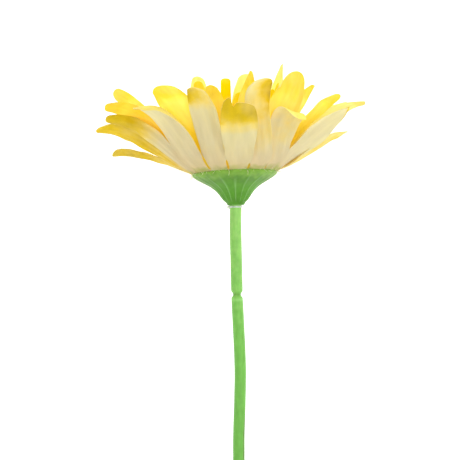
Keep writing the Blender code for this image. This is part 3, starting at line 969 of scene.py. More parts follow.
def green_plastic(name, stops, rib_colour, roughness, streak):
    """Its colours from top to bottom or from foot to rim, its painted highlight's colour, and its streaks'
    size.
    """
    made, tree = blank(name)
    along, rib, dirt_and_shade = (carried(tree, value) for value in ("along", "rib", "dirt_and_shade"))
    here = add(tree, "ShaderNodeTexCoord").outputs["Object"]
    cloud = add(tree, "ShaderNodeTexNoise", {"Vector": here, "Scale": scale_for(MOULD_CLOUD), "Detail": 3})
    blotches = add(tree, "ShaderNodeMath", {0: cloud, 1: 0.5}, operation="SUBTRACT")
    shifted = add(tree, "ShaderNodeMath", {0: blotches, 1: BLOTCH, 2: along}, operation="MULTIPLY_ADD")
    base = add(tree, "ShaderNodeValToRGB", {"Fac": shifted}, stops=stops)
    ribbed = blended(tree, rib, base, colour(rib_colour))
    with_dirt_and_shade = blended(tree, dirt_and_shade, ribbed, colour(DIRT_AND_SHADE))
    drawn_out = tuple(scale_for(size) for size in streak)
    stretched = add(tree, "ShaderNodeMapping", {"Vector": here, "Scale": drawn_out})
    streaks = add(tree, "ShaderNodeTexNoise", {"Vector": stretched, "Scale": 1, "Detail": 5})
    tone = add(tree, "ShaderNodeMapRange", {0: streaks, 1: 0.3, 2: 0.7, 3: 0.9, 4: 1.07})
    toned = add(tree, "ShaderNodeHueSaturation", {"Value": tone, "Color": with_dirt_and_shade})
    gloss = add(tree, "ShaderNodeMapRange", {0: streaks, 1: 0.3, 2: 0.7, 3: roughness, 4: roughness + 0.1})
    bump = add(tree, "ShaderNodeBump", {"Height": streaks, "Strength": 0.3, "Distance": 0.06 * MM})
    surface = add(
        tree,
        "ShaderNodeBsdfPrincipled",
        {
            "Base Color": toned,
            "Normal": bump,
            "Roughness": gloss,
            "IOR": 1.5,
            "Specular IOR Level": 0.15,
            "Subsurface Weight": 0.15,
            "Subsurface Radius": (0.4, 1.0, 0.2),
            "Subsurface Scale": 1.2 * MM,
        },
    )
    add(tree, "ShaderNodeOutputMaterial", {"Surface": surface})
    return made


print(f"the greens have blotches of {MOULD_CLOUD} mm")

# %% Two greens
# the calyx's colours run from a darker foot to a lighter rim, and the lighter rim is a painted highlight
calyx_plastic = green_plastic(
    "moulded_polyethylene_mid_green",
    [(0, "#467E20"), (0.4, "#5A942E"), (0.75, "#548426"), (1, "#7AA43C")],
    "#86B868",
    0.4,
    (3.3, 3.3, 3.3),
)
stem_plastic = green_plastic(
    "moulded_polyethylene_fresh_green",
    [(0, "#96CC6A"), (0.35, "#76B852"), (1, "#62A042")],
    "#A0DC80",
    0.36,
    (1.1, 16.0, 1.1),
)
print("plastics:", calyx_plastic.name, "and", stem_plastic.name)

# %% [markdown]
# ## Turned pieces
#
# The calyx, the stem, the glue and the dome are all turned, more or less. Blender's Screw modifier
# could turn an outline, but here each ring of points has to be changed a little, by ribs, seams,
# lumps or a bend. So a piece is a list of rings, and one function joins them with faces. A smooth
# curve through a few measured knots gives the outline.

# %% Outlines and rings
def between(a, b, c, d, t):
    """The value at a share t of the way from b to c, on a smooth curve that comes from a, goes to d."""
    square = (a - 2.5 * b + 2 * c - d / 2) * t**2
    cube = (1.5 * (b - c) + (d - a) / 2) * t**3
    return b + (c - a) / 2 * t + square + cube


def smooth_curve(knots, steps):
    """Points of a smooth curve through knots, with a number of steps between each two."""
    padded = [knots[0], *knots, knots[-1]]
    curve = []
    for four in zip(padded, padded[1:], padded[2:], padded[3:]):
        for step in range(steps):
            curve.append(tuple(between(*values, step / steps) for values in zip(*four)))
    return [*curve, tuple(knots[-1])]


def unevenness(azimuth, fineness, place):
    """A random value from -1 to 1 that runs smoothly round a turned piece."""
    return noise.noise(Vector((math.sin(azimuth) * fineness, math.cos(azimuth) * fineness, place)))


def rings_to_faces(rings, closed):
    """Faces between rings of points, joined into a loop or capped at both ends."""
    sides = len(rings[0])
    faces = []
    for low in range(len(rings) if closed else len(rings) - 1):
        first, above = low * sides, (low + 1) % len(rings) * sides
        for side in range(sides):
            beside = (side + 1) % sides
            faces.append((first + side, first + beside, above + beside, above + side))
    if not closed:
        faces.append(tuple(reversed(range(sides))))
        faces.append(tuple(range((len(rings) - 1) * sides, len(rings) * sides)))
    return [point for ring in rings for point in ring], faces


print("half way between knots at 0 and 1:", between(0, 0, 1, 1, 0.5))

# %% [markdown]
# ## The calyx
#
# It is a turned shape with straight ribs raised on it: each ring has the funnel's radius at its
# height, and a little more where a rib runs. The rim thins to a lip against the cloth and is a
# little uneven, and the inside is the dish and sockets that the solid has.

# %% Sizes of the calyx
CALYX_SIDES = 256
CALYX_RIBS = 16
RIB_HEIGHT = 0.45 * MM
RIB_SHARPNESS = 5
RIB_START = (3.6, 5.2)  # mm from the axis, between which a rib grows
RIM_WAVE = 0.35 * MM
RIM_RAGS = 0.3 * MM
CURVE_STEPS = 4
CALYX_OUTSIDE = [
    (3.0, -13.5),
    (3.55, -13.35),
    (3.75, -12.9),
    (3.95, -12.5),
    (4.6, -11.6),
    (5.5, -10.3),
    (6.6, -8.7),
    (8.1, -7.0),
    (10.3, -5.3),
    (13.3, -3.6),
    (16.2, -2.0),
    (17.6, -0.8),
    (17.9, 0.05),
]
CALYX_WIDEST = 18.0
LIP_GAP = 0.25  # mm from the plastic to the cloth
LIP_RADIUS = 17.5
DISH_RADIUS = 12.0
PEG_BORE = 2.0
SOCKET = 2.7
SOCKET_TOP = -8.9
print(f"calyx {2 * CALYX_OUTSIDE[-1][0]:.1f} mm across and {-CALYX_OUTSIDE[0][1]} mm high")


# %% Calyx
def make_calyx():
    outside = smooth_curve(CALYX_OUTSIDE, CURVE_STEPS)
    lip = hub_height(RIM_RADIUS, 0) / MM - LIP_GAP
    dish = lip - (LIP_RADIUS - DISH_RADIUS) * math.tan(DISH_SLOPE)
    bore_top = hub_height(PEG_BORE * MM, 0) / MM - LIP_GAP
    inside = [(LIP_RADIUS, lip), (DISH_RADIUS, dish), (PEG_BORE, bore_top)]
    inside += [(PEG_BORE, SOCKET_TOP), (SOCKET, SOCKET_TOP), (SOCKET, CALYX_OUTSIDE[0][1])]
    rings, ribs, along = [], [], []
    for radius, height in outside + inside:
        shown = (radius, height) in outside
        grown = eased(radius, *RIB_START)
        low_at_rim = 1 - 0.75 * eased(radius, 13, 17.6)
        highlight_at_foot = 1 - 0.9 * eased(radius, 8, 16)
        ring = []
        for side in range(CALYX_SIDES):
            azimuth = 2 * math.pi * side / CALYX_SIDES
            crest = max(0, math.cos(CALYX_RIBS * azimuth)) ** RIB_SHARPNESS if shown else 0
            strength = 0.5 + 0.5 * unevenness(azimuth, 4, 9)
            rags = RIM_RAGS * unevenness(azimuth, 30, 6) * eased(radius, 16.5, 17.9)
            wave = (RIM_WAVE * unevenness(azimuth, 6, 3) + rags) * eased(radius, 14, 17.6)
            out = radius * MM + RIB_HEIGHT * crest * (grown * low_at_rim)
            ring.append(outward(azimuth) * out + UP * (height * MM + wave))
            # the ribs are painted paler, most towards the foot: a painted highlight
            ribs.append(strength * crest * grown * highlight_at_foot)
            along.append(radius / CALYX_WIDEST)
        rings.append(ring)
    points, faces = rings_to_faces(rings, closed=True)
    points = [head @ point for point in points]
    piece = mesh_piece("calyx_funnel", points, faces, calyx_plastic, "calyx", rib=ribs, along=along)
    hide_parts("calyx")
    print("calyx:", len(faces), "faces,", CALYX_RIBS, "ribs")


make_calyx()

# %% [markdown]
# ## The stem
#
# The stem is a rod along a gently bent line, with one waist where it is meant to be bent by hand.
# Just below the waist a pale ring is painted: a painted highlight where the plastic swells out
# again. Two fine seams show where the mould's halves met, and one of them holds dirt low down, as
# two scuffs do. The darker ring in the waist is painted shade. Its cut end is open, and the wire
# shows there.
#
# Each of these marks fades out on both sides, so one small bell-shaped function draws them all.

# %% Sizes of the stem
STEM_RADIUS = 2.4
STEM_TOP = -9.2
STEM_END = -165.0
STEM_SIDES = 64
STEM_STEP = 1.2
WAIST_HEIGHT = -51.0
WAIST_DEPTH = 0.8
WAIST_REACH = 1.05
WAIST_SQUARENESS = 1.3
WAIST_LIP = 2.2  # mm below the waist, where a ring of painted highlight lies
LIP_WIDTH = 0.7
LIP_HIGHLIGHT = 0.4
# a ring of painted shade in the waist's groove
WAIST_SHADE_WIDTH = 0.4
WAIST_SHADE = 0.3
SEAM_HEIGHT = 0.06
SEAM_EDGE = 0.985  # sine of the angle from the front where a seam begins
SOIL_LINE = 0.88  # how far right of the middle the dirty line at the seam lies, in radii
SOIL_WIDTH = 0.07
SOIL_TOP = -100.0
MARKS = ((0.55, -68.8), (0.72, -78.1))  # two scuffs: how far right, in radii, and how high
MARK_SIZE = (0.12, 0.5)  # in radii and in mm
MARK_DIRT = 0.35
WIRE_BORE = 1.1
BORE_TOP = -14.7
BORE_STEPS = 24
STEM_ROUTE = [
    (-0.1, STEM_TOP),
    (-0.2, -24.0),
    (0.1, -36.0),
    (0.4, -50.0),
    (1.1, -65.0),
    (1.8, -82.0),
    (1.6, -97.0),
    (1.2, -112.0),
    (1.4, -138.0),
    (2.4, STEM_END),
]


def stem_centre(height):
    """The stem's centre line at a height in millimetres."""
    last = len(STEM_ROUTE) - 1
    number = next((k for k in range(last) if STEM_ROUTE[k + 1][1] <= height), last - 1)
    start, end = STEM_ROUTE[number], STEM_ROUTE[number + 1]
    before, after = STEM_ROUTE[max(number - 1, 0)], STEM_ROUTE[min(number + 2, last)]
    share = (start[1] - height) / (start[1] - end[1])
    return Vector((between(before[0], start[0], end[0], after[0], share), 0, height)) * MM


print(f"the stem's cut end lies {stem_centre(STEM_END).x / MM:.1f} mm to the side of its top")


# %% Marks on the stem
def bell(offset, width):
    """1 in the middle of a mark, and close to 0 twice its width away."""
    return math.exp(-((offset / width) ** 2))


def dirt_and_shade_at(right, height):
    """Dirt, and painted shade in the waist, at a place right of the middle in radii and a height."""
    line = bell(right - SOIL_LINE, SOIL_WIDTH) * eased(SOIL_TOP - height, 0, 8)
    worn = 0.8 + 0.6 * noise.noise(Vector((5, 0, height * 0.35)))
    wide, high = MARK_SIZE
    scuff = sum(bell(right - u, wide) * bell(height - w, high) for u, w in MARKS)
    # the waist's darker ring is painted shade
    waist_shade = WAIST_SHADE * bell(height - WAIST_HEIGHT, WAIST_SHADE_WIDTH)
    return min(1, max(0, waist_shade, line * worn, MARK_DIRT * scuff))


print(f"dirt in the first scuff: {dirt_and_shade_at(*MARKS[0]):.2f} of 1")


# %% Stem
def make_stem():
    steps = round((STEM_TOP - STEM_END) / STEM_STEP)
    heights = [STEM_TOP + (STEM_END - STEM_TOP) * step / steps for step in range(steps + 1)]
    heights += [WAIST_HEIGHT + 0.25 * step for step in range(-12, 13)]
    heights = sorted(set(round(height, 3) for height in heights), reverse=True)
    azimuths = [2 * math.pi * side / STEM_SIDES for side in range(STEM_SIDES)]
    rings, along, rib, dirt_and_shade = [], [], [], []
    for height in heights:
        offset = ((height - WAIST_HEIGHT) / WAIST_REACH) ** 2
        waist = WAIST_DEPTH * math.exp(-(offset**WAIST_SQUARENESS))
        top_round = 0.25 * (1 - eased(STEM_TOP - height, 0, 0.6))
        end_round = 0.1 * (1 - eased(height - STEM_END, 0, 0.4))
        ring = []
        for azimuth in azimuths:
            seam = SEAM_HEIGHT * max(0, abs(math.sin(azimuth)) - SEAM_EDGE) / (1 - SEAM_EDGE)
            uneven = 0.05 * unevenness(azimuth, 1, height * 0.12)
            radius = STEM_RADIUS - waist - top_round - end_round + seam + uneven
            ring.append(stem_centre(height) + outward(azimuth) * radius * MM)
            right = math.sin(azimuth) if math.cos(azimuth) > 0 else 0
            dirt_and_shade.append(dirt_and_shade_at(right, height))
        rings.append(ring)
        # a ring of painted highlight below the waist
        rib += [LIP_HIGHLIGHT * bell(height - WAIST_HEIGHT + WAIST_LIP, LIP_WIDTH)] * STEM_SIDES
        along += [(STEM_TOP - height) / (STEM_TOP - STEM_END)] * STEM_SIDES
    for step in range(BORE_STEPS + 1):
        height = STEM_END + (BORE_TOP - STEM_END) * step / BORE_STEPS
        rings.append([stem_centre(height) + outward(azimuth) * WIRE_BORE * MM for azimuth in azimuths])
        along += [1.0] * STEM_SIDES
        rib += [0.0] * STEM_SIDES
        dirt_and_shade += [0.0] * STEM_SIDES
    points, faces = rings_to_faces(rings, closed=False)
    faces = [face[::-1] for face in faces]
    points = [lying @ point for point in points]
    for point in points:
        point.z = max(point.z, 0)
    values = {"along": along, "rib": rib, "dirt_and_shade": dirt_and_shade}
    piece = mesh_piece("moulded_stem", points, faces, stem_plastic, "stem", **values)
    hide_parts("stem")
    print("stem:", len(faces), "faces")


make_stem()

# %% [markdown]
# ## The wire
#
# The wire is drawn steel. Its solid has the right shape, so it stays and only gets its metal, with
# fine lines along it that the drawing die has left.

# %% Steel wire
def drawn_steel():
    made, tree = blank("drawn_steel_wire")
    here = add(tree, "ShaderNodeTexCoord").outputs["Object"]
    die_lines = tuple(scale_for(size) for size in (0.17, 3.3, 0.17))
    stretched = add(tree, "ShaderNodeMapping", {"Vector": here, "Scale": die_lines})
    lines = add(tree, "ShaderNodeTexNoise", {"Vector": stretched, "Scale": 1, "Detail": 2})
    rough = add(tree, "ShaderNodeMapRange", {0: lines, 1: 0.3, 2: 0.7, 3: 0.25, 4: 0.45})
    tint = add(tree, "ShaderNodeValToRGB", {"Fac": lines}, stops=[(0.3, "#8E9092"), (0.7, "#B4B6B8")])
    surface = add(
        tree, "ShaderNodeBsdfPrincipled", {"Base Color": tint, "Roughness": rough, "Metallic": 1.0}
    )
    add(tree, "ShaderNodeOutputMaterial", {"Surface": surface})
    return made


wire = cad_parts["stem_wire"]
wire.material_slots[0].material = drawn_steel()
print(f"the wire is {max(wire.dimensions) / MM:.0f} mm long and bare at the cut end")

# %% [markdown]
# ## The glue
#
# The glue is hot-melt: clear with a milky body, smooth and glossy. It sits in the corner under the
# calyx's foot, thicker on the left, where it was put on, and sags a little there. Its outline is a
# small closed loop, so the rings are joined into a loop too.

# %% Hot-melt glue
def hot_melt():
    made, tree = blank("hot_melt_glue")
    here = add(tree, "ShaderNodeTexCoord").outputs["Object"]
    cloud = add(tree, "ShaderNodeTexNoise", {"Vector": here, "Scale": scale_for(1.1), "Detail": 3})
    milky = add(tree, "ShaderNodeValToRGB", {"Fac": cloud}, stops=[(0.35, "#DDEBD6"), (0.7, "#F6FAF2")])
    bump = add(tree, "ShaderNodeBump", {"Height": cloud, "Strength": 0.2, "Distance": 0.1 * MM})
    finish = {"Roughness": 0.16, "IOR": 1.49, "Transmission Weight": 0.45}
    surface = add(
        tree, "ShaderNodeBsdfPrincipled", {"Base Color": milky, "Normal": bump, **finish}
    )
    add(tree, "ShaderNodeOutputMaterial", {"Surface": surface})
    return made


glue = hot_melt()
print("material:", glue.name)

# %% Collar of glue
GLUE_SIDES = 96
GLUE_RING = [(2.42, -14.5), (2.47, -14.55), (2.53, -14.4), (2.55, -14.15), (2.52, -13.9), (2.42, -13.8)]
GLUE_THICKEST = 3  # the number of the ring's outermost point
GLUE_SWELL = 1.5
GLUE_TURN = 0.3  # radians round the stem from its left side
GLUE_LUMPS = 0.12
GLUE_SAG = 0.5


def make_glue():
    (thin, foot_height), (thick, _), (_, top_height) = GLUE_RING[0], GLUE_RING[GLUE_THICKEST], GLUE_RING[-1]
    rings = []
    for radius, height in smooth_curve(GLUE_RING, 3):
        bulge = (radius - thin) / (thick - thin)
        lowness = (height - top_height) / (foot_height - top_height)
        ring = []
        for side in range(GLUE_SIDES):
            azimuth = 2 * math.pi * side / GLUE_SIDES
            left = max(0, -math.sin(azimuth + GLUE_TURN)) ** 3
            lumps = 0.5 + 0.5 * unevenness(azimuth, 2.2, height * 0.5)
            extra = bulge * (GLUE_SWELL * left * (0.7 + 0.6 * lumps) + GLUE_LUMPS * (lumps - 0.5))
            sag = GLUE_SAG * left * lowness
            ring.append(outward(azimuth) * (radius + extra) * MM + UP * (height - sag) * MM)
        rings.append(ring)
    points, faces = rings_to_faces(rings, closed=True)
    points = [lying @ point for point in points]
    piece = mesh_piece("glue_collar", points, faces, glue, "glue")
    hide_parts("glue_bead")
    print("glue:", len(faces), "faces")


make_glue()

# %% [markdown]
# ## The heart: a moulded dome
#
# The picture doesn't show the heart, so it is that of an ordinary gerbera: a low dome, packed with
# small tubular florets, green in the middle and yellow outside. The dome and its peg are turned,
# as the solid is, and sit a little lower so that the florets reach the solid's height. Both are
# flocked: matt and velvety, and coloured by how far out a place is.

# %% Flocked plastic


def floret_plastic():
    """Flocked polyethylene: matt and velvety, its colour read from how far out a floret is."""
    rings_of_tints = [(0, "#6E7A22"), (0.4, "#8E9126"), (0.75, "#C9A71E"), (1, "#E9C22C")]
    made, tree = blank("flocked_florets")
    place, mouth = carried(tree, "outness"), carried(tree, "mouth")
    here = add(tree, "ShaderNodeTexCoord").outputs["Object"]
    grain = add(tree, "ShaderNodeTexNoise", {"Vector": here, "Scale": scale_for(0.4), "Detail": 4})
    tint = add(tree, "ShaderNodeValToRGB", {"Fac": place}, stops=rings_of_tints)
    lit = blended(tree, mouth, tint, colour("#F7DE62"))
    tone = add(tree, "ShaderNodeMapRange", {0: grain, 1: 0.3, 2: 0.7, 3: 0.85, 4: 1.1})
    toned = add(tree, "ShaderNodeHueSaturation", {"Value": tone, "Color": lit})
    bump = add(tree, "ShaderNodeBump", {"Height": grain, "Strength": 0.5, "Distance": 0.05 * MM})
    finish = {"Roughness": 0.85, "Sheen Weight": 0.35, "Sheen Roughness": 0.4}
    surface = add(
        tree, "ShaderNodeBsdfPrincipled", {"Base Color": toned, "Normal": bump, **finish}
    )
    add(tree, "ShaderNodeOutputMaterial", {"Surface": surface})
    return made


florets = floret_plastic()
print("material:", florets.name)

# %% Dome
DISC_RADIUS = 8.8
DISC_DOME = 3.4
DISC_EDGE = 1.4
DISC_LIFT = 0.65  # mm from the fringe's ring to the middle of the disc's underside
DOME_SUNK = 0.6
DOME_SIDES = 96
DOME_STEPS = 12
DOME_TINT = 0.6  # the dome between the florets takes a greener tint than they do
EDGE_CUT = 0.3
PEG_RADIUS = 1.7
PEG_LENGTH = 2.8
FRINGE_LEVEL = 3


def disc_underside(radius):
    return hub_height(radius * MM, FRINGE_LEVEL) / MM + DISC_LIFT


def dome_height(radius):
    """Height of the dome's surface at a radius, in millimetres."""
    dome = DISC_DOME * (1 - (radius / DISC_RADIUS) ** 2)
    return disc_underside(DISC_RADIUS) + DISC_EDGE + dome - DOME_SUNK


def make_dome():
    edge = disc_underside(DISC_RADIUS)
    peg_end = hub_height(PEG_RADIUS * MM, 0) / MM - PEG_LENGTH
    profile = [(PEG_RADIUS, peg_end), (PEG_RADIUS, disc_underside(PEG_RADIUS))]
    profile += [(DISC_RADIUS - EDGE_CUT, edge), (DISC_RADIUS, edge + EDGE_CUT)]
    for step in range(DOME_STEPS):
        radius = DISC_RADIUS * (1 - step / DOME_STEPS)
        profile.append((radius, dome_height(radius)))
    turns = [outward(2 * math.pi * side / DOME_SIDES) for side in range(DOME_SIDES)]
    rings = [[turn * radius * MM + UP * height * MM for turn in turns] for radius, height in profile]
    points, faces = rings_to_faces(rings, closed=False)
    points = [head @ point for point in points]
    values = {
        "outness": [radius / DISC_RADIUS * DOME_TINT for radius, _ in profile for _ in turns],
        "mouth": [0.0] * len(points),
    }
    piece = mesh_piece("heart_dome", points, faces, florets, "flower_centre", **values)
    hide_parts("flower_centre")
    print("heart dome:", len(faces), "faces")


make_dome()

# %% [markdown]
# ## Growing things in numbers with Geometry Nodes
#
# The florets, the strips of the fringe and the loose threads are many copies of one small shape,
# so Geometry Nodes place them. A tree takes the small shape as its input, makes points by a rule,
# puts a turned and scaled copy on each, and makes them real. The result is turned into a plain
# mesh, so nothing live is left. The three trees share their beginning and their end.

# %% Helpers for Geometry Nodes
def new_tree(name, sizes):
    """A tree with a geometry input and output and a named input for each size."""
    tree = bpy.data.node_groups.new(name, "GeometryNodeTree")
    tree.interface.new_socket("Geometry", in_out="INPUT", socket_type="NodeSocketGeometry")
    for label, value in sizes.items():
        kind = "NodeSocketInt" if isinstance(value, int) else "NodeSocketFloat"
        tree.interface.new_socket(label, in_out="INPUT", socket_type=kind)
    tree.interface.new_socket("Geometry", in_out="OUTPUT", socket_type="NodeSocketGeometry")
    return tree, add(tree, "NodeGroupInput").outputs


def grow(name, seedling, tree, sizes):
    """Runs the tree on a small shape and keeps the result as a plain mesh of its own."""
    modifier = seedling.modifiers.new(name, "NODES")
    modifier.node_group = tree
    for socket in tree.interface.items_tree:
        if socket.in_out == "INPUT" and socket.name in sizes:
            modifier[socket.identifier] = sizes[socket.name]
    evaluated = seedling.evaluated_get(bpy.context.evaluated_depsgraph_get())
    mesh = bpy.data.meshes.new_from_object(evaluated)
    mesh.transform(head)
    mesh.name = name
    mesh.shade_smooth()
    mesh.set_sharp_from_angle(angle=math.radians(40))
    piece = bpy.data.objects.new(name, mesh)
    bpy.context.scene.collection.objects.link(piece)
    bpy.data.objects.remove(seedling)
    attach(piece, "root")
    print(f"{name}: {len(mesh.polygons)} faces")
    return piece


def small_shape(name, points, faces, **point_values):
    """The shape that a tree copies."""
    mesh = bpy.data.meshes.new(name)
    mesh.from_pydata(points, [], faces)
    for label, numbers in point_values.items():
        mesh.attributes.new(label, "FLOAT", "POINT").data.foreach_set("value", numbers)
    piece = bpy.data.objects.new(name, mesh)
    bpy.context.scene.collection.objects.link(piece)
    print(f"small shape {name}: {len(faces)} faces")
    return piece


print("helpers for growing: new_tree, grow, small_shape")

# %% [markdown]
# ## Florets on a spiral
#
# A daisy packs its florets by one rule: each next one is turned by the golden angle and set a
# little further out, at the square root of its number. That covers the disc evenly, with the two
# families of spirals that the eye finds in it. Each floret is a short tube with five lobes.

# %% One floret
LOBES = 5
LOBE_OUT = 0.32
LOBE_IN = -0.2
FLORET_LEVELS = [  # radius and height in mm, and how far the lobes are open there
    (0.30, 0.0, 0.0),
    (0.34, 0.7, 0.0),
    (0.52, 1.25, 0.35),
    (0.62, 1.45, 1.0),
    (0.30, 1.2, 0.4),
    (0.12, 0.8, 0.0),
]


def one_floret():
    """A tube that opens into lobes. The lighter mouth follows how far they are open."""
    rings, mouth = [], []
    for radius, height, light in FLORET_LEVELS:
        ring = []
        for side in range(LOBES * 2):
            azimuth = math.pi * side / LOBES
            lobe = 1 + (LOBE_OUT if side % 2 == 0 else LOBE_IN) * light
            ring.append(outward(azimuth) * radius * lobe * MM + UP * height * MM)
        rings.append(ring)
        mouth += [light] * LOBES * 2
    points, faces = rings_to_faces(rings, closed=False)
    return small_shape("floret", points, faces, mouth=mouth)


floret = one_floret()

# %% The spiral
FLORETS = 190
SPIRAL = {
    "Count": FLORETS,
    "Disc Radius": (DISC_RADIUS - 0.35) * MM,
    "Edge Height": dome_height(DISC_RADIUS) * MM,
    "Dome": DISC_DOME * MM,
    "Smallest": 0.62,
    "Largest": 1.0,
    "Outer Lean": 0.75,
    "Seed": 5,
}
GOLDEN_ANGLE = math.pi * (3 - math.sqrt(5))
GROWING = (0.2, 0.9)  # the shares of the radius between which the florets get larger


def spiral_tree():
    tree, given = new_tree("floret_spiral", SPIRAL)
    number = add(tree, "GeometryNodeInputIndex")
    after = add(tree, "ShaderNodeMath", {0: number, 1: 0.5}, operation="ADD")
    part = add(tree, "ShaderNodeMath", {0: after, 1: given["Count"]}, operation="DIVIDE")
    share = add(tree, "ShaderNodeMath", {0: part}, operation="SQRT")
    angle = add(tree, "ShaderNodeMath", {0: number, 1: GOLDEN_ANGLE}, operation="MULTIPLY")
    radius = add(tree, "ShaderNodeMath", {0: share, 1: given["Disc Radius"]}, operation="MULTIPLY")
    cosine = add(tree, "ShaderNodeMath", {0: angle}, operation="COSINE")
    sine = add(tree, "ShaderNodeMath", {0: angle}, operation="SINE")
    x = add(tree, "ShaderNodeMath", {0: cosine, 1: radius}, operation="MULTIPLY")
    y = add(tree, "ShaderNodeMath", {0: sine, 1: radius}, operation="MULTIPLY")
    below = add(tree, "ShaderNodeMath", {0: 1.0, 1: part}, operation="SUBTRACT")
    z = add(
        tree,
        "ShaderNodeMath",
        {0: below, 1: given["Dome"], 2: given["Edge Height"]},
        operation="MULTIPLY_ADD",
    )
    place = add(tree, "ShaderNodeCombineXYZ", {"X": x, "Y": y, "Z": z})
    points = add(tree, "GeometryNodePoints", {"Count": given["Count"], "Position": place})
    slope = add(tree, "ShaderNodeMath", {0: share, 1: given["Outer Lean"]}, operation="MULTIPLY")
    lean_x = add(tree, "ShaderNodeMath", {0: cosine, 1: slope}, operation="MULTIPLY")
    lean_y = add(tree, "ShaderNodeMath", {0: sine, 1: slope}, operation="MULTIPLY")
    facing = add(tree, "ShaderNodeCombineXYZ", {"X": lean_x, "Y": lean_y, "Z": 1.0})
    turned = add(tree, "FunctionNodeAlignRotationToVector", {"Vector": facing}, axis="Z")
    spin = add(
        tree, "FunctionNodeRandomValue", {"Min": 0.0, "Max": 2 * math.pi, "Seed": given["Seed"]}
    )
    spun = add(tree, "FunctionNodeAxisAngleToRotation", {"Axis": (0, 0, 1), "Angle": spin})
    rotation = add(
        tree,
        "FunctionNodeRotateRotation",
        {"Rotation": turned, "Rotate By": spun},
        rotation_space="LOCAL",
    )
    size = add(
        tree,
        "ShaderNodeMapRange",
        {0: share, 1: GROWING[0], 2: GROWING[1], 3: given["Smallest"], 4: given["Largest"]},
    )
    copies = add(
        tree,
        "GeometryNodeInstanceOnPoints",
        {"Points": points, "Instance": given["Geometry"], "Rotation": rotation, "Scale": size},
    )
    marked = add(
        tree,
        "GeometryNodeStoreNamedAttribute",
        {"Geometry": copies, "Name": "outness", "Value": share},
        data_type="FLOAT",
        domain="INSTANCE",
    )
    real = add(tree, "GeometryNodeRealizeInstances", {"Geometry": marked})
    painted = add(tree, "GeometryNodeSetMaterial", {"Geometry": real, "Material": florets})
    add(tree, "NodeGroupOutput", {"Geometry": painted})
    return tree


grow("disc_florets", floret, spiral_tree(), SPIRAL)

# %% [markdown]
# ## The fringe round the heart
#
# Between the heart and the petals stands a ring of narrow strips, the short inner florets of a
# gerbera. They are cut from one more small sheet, so they are strips of the same cloth. Two rows
# of copies of one strip stand round the dome, each a little different in length and lean.

# %% One strip
STRIP_LENGTH = 9.2
STRIP_WIDTH = 0.82
STRIP_NARROWING = 0.75
STRIP_ROWS = 6
STRIP_ROOT = 9.6
STRIP_THICKNESS = 0.16
STRIP_RISE = (64, 74, 30)  # degrees above level at the root, in the middle and at the tip
STRIP_HOLLOW = 0.14


def one_strip():
    """A hollowed strip that leaves a ring outwards, rises and curls over at its tip."""
    points, quads, along = [], [], []
    place, height = 0.0, 0.0
    for row in range(STRIP_ROWS + 1):
        share = row / STRIP_ROWS
        rise = math.radians(through(STRIP_RISE, share))
        width = STRIP_WIDTH / 2 * (1 - STRIP_NARROWING * share**3)
        for side in (-1, 0, 1):
            dip = 0 if side else -STRIP_HOLLOW
            x = place - dip * math.sin(rise)
            points.append(Vector((side * width, -x, height + dip * math.cos(rise))) * MM)
            along.append(share)
        place += math.cos(rise) * STRIP_LENGTH / STRIP_ROWS
        height += math.sin(rise) * STRIP_LENGTH / STRIP_ROWS
    for row in range(STRIP_ROWS):
        for side in range(2):
            corner = row * 3 + side
            quads.append((corner, corner + 1, corner + 4, corner + 3))
    points, faces = two_faced(points, quads, STRIP_THICKNESS * MM)
    count = len(points) // 2
    values = {
        "along": along * 2,
        "reverse": [1.0] * count + [0.0] * count,
        "dye": [0.0] * len(points),
    }
    return small_shape("strip", points, faces, **values)


strip = one_strip()

# %% Two rows of strips
FRINGE = {
    "Count": 72,
    "Root Radius": STRIP_ROOT * MM,
    "Root Height": hub_height(STRIP_ROOT * MM, FRINGE_LEVEL) - 0.1 * MM,
    "Row Step": 0.7 * MM,
    "Shortest": 0.82,
    "Longest": 1.12,
    "Sway": 0.16,
    "Inner Lean": 0.16,
    "Seed": 3,
}
TONE_SEED = 9


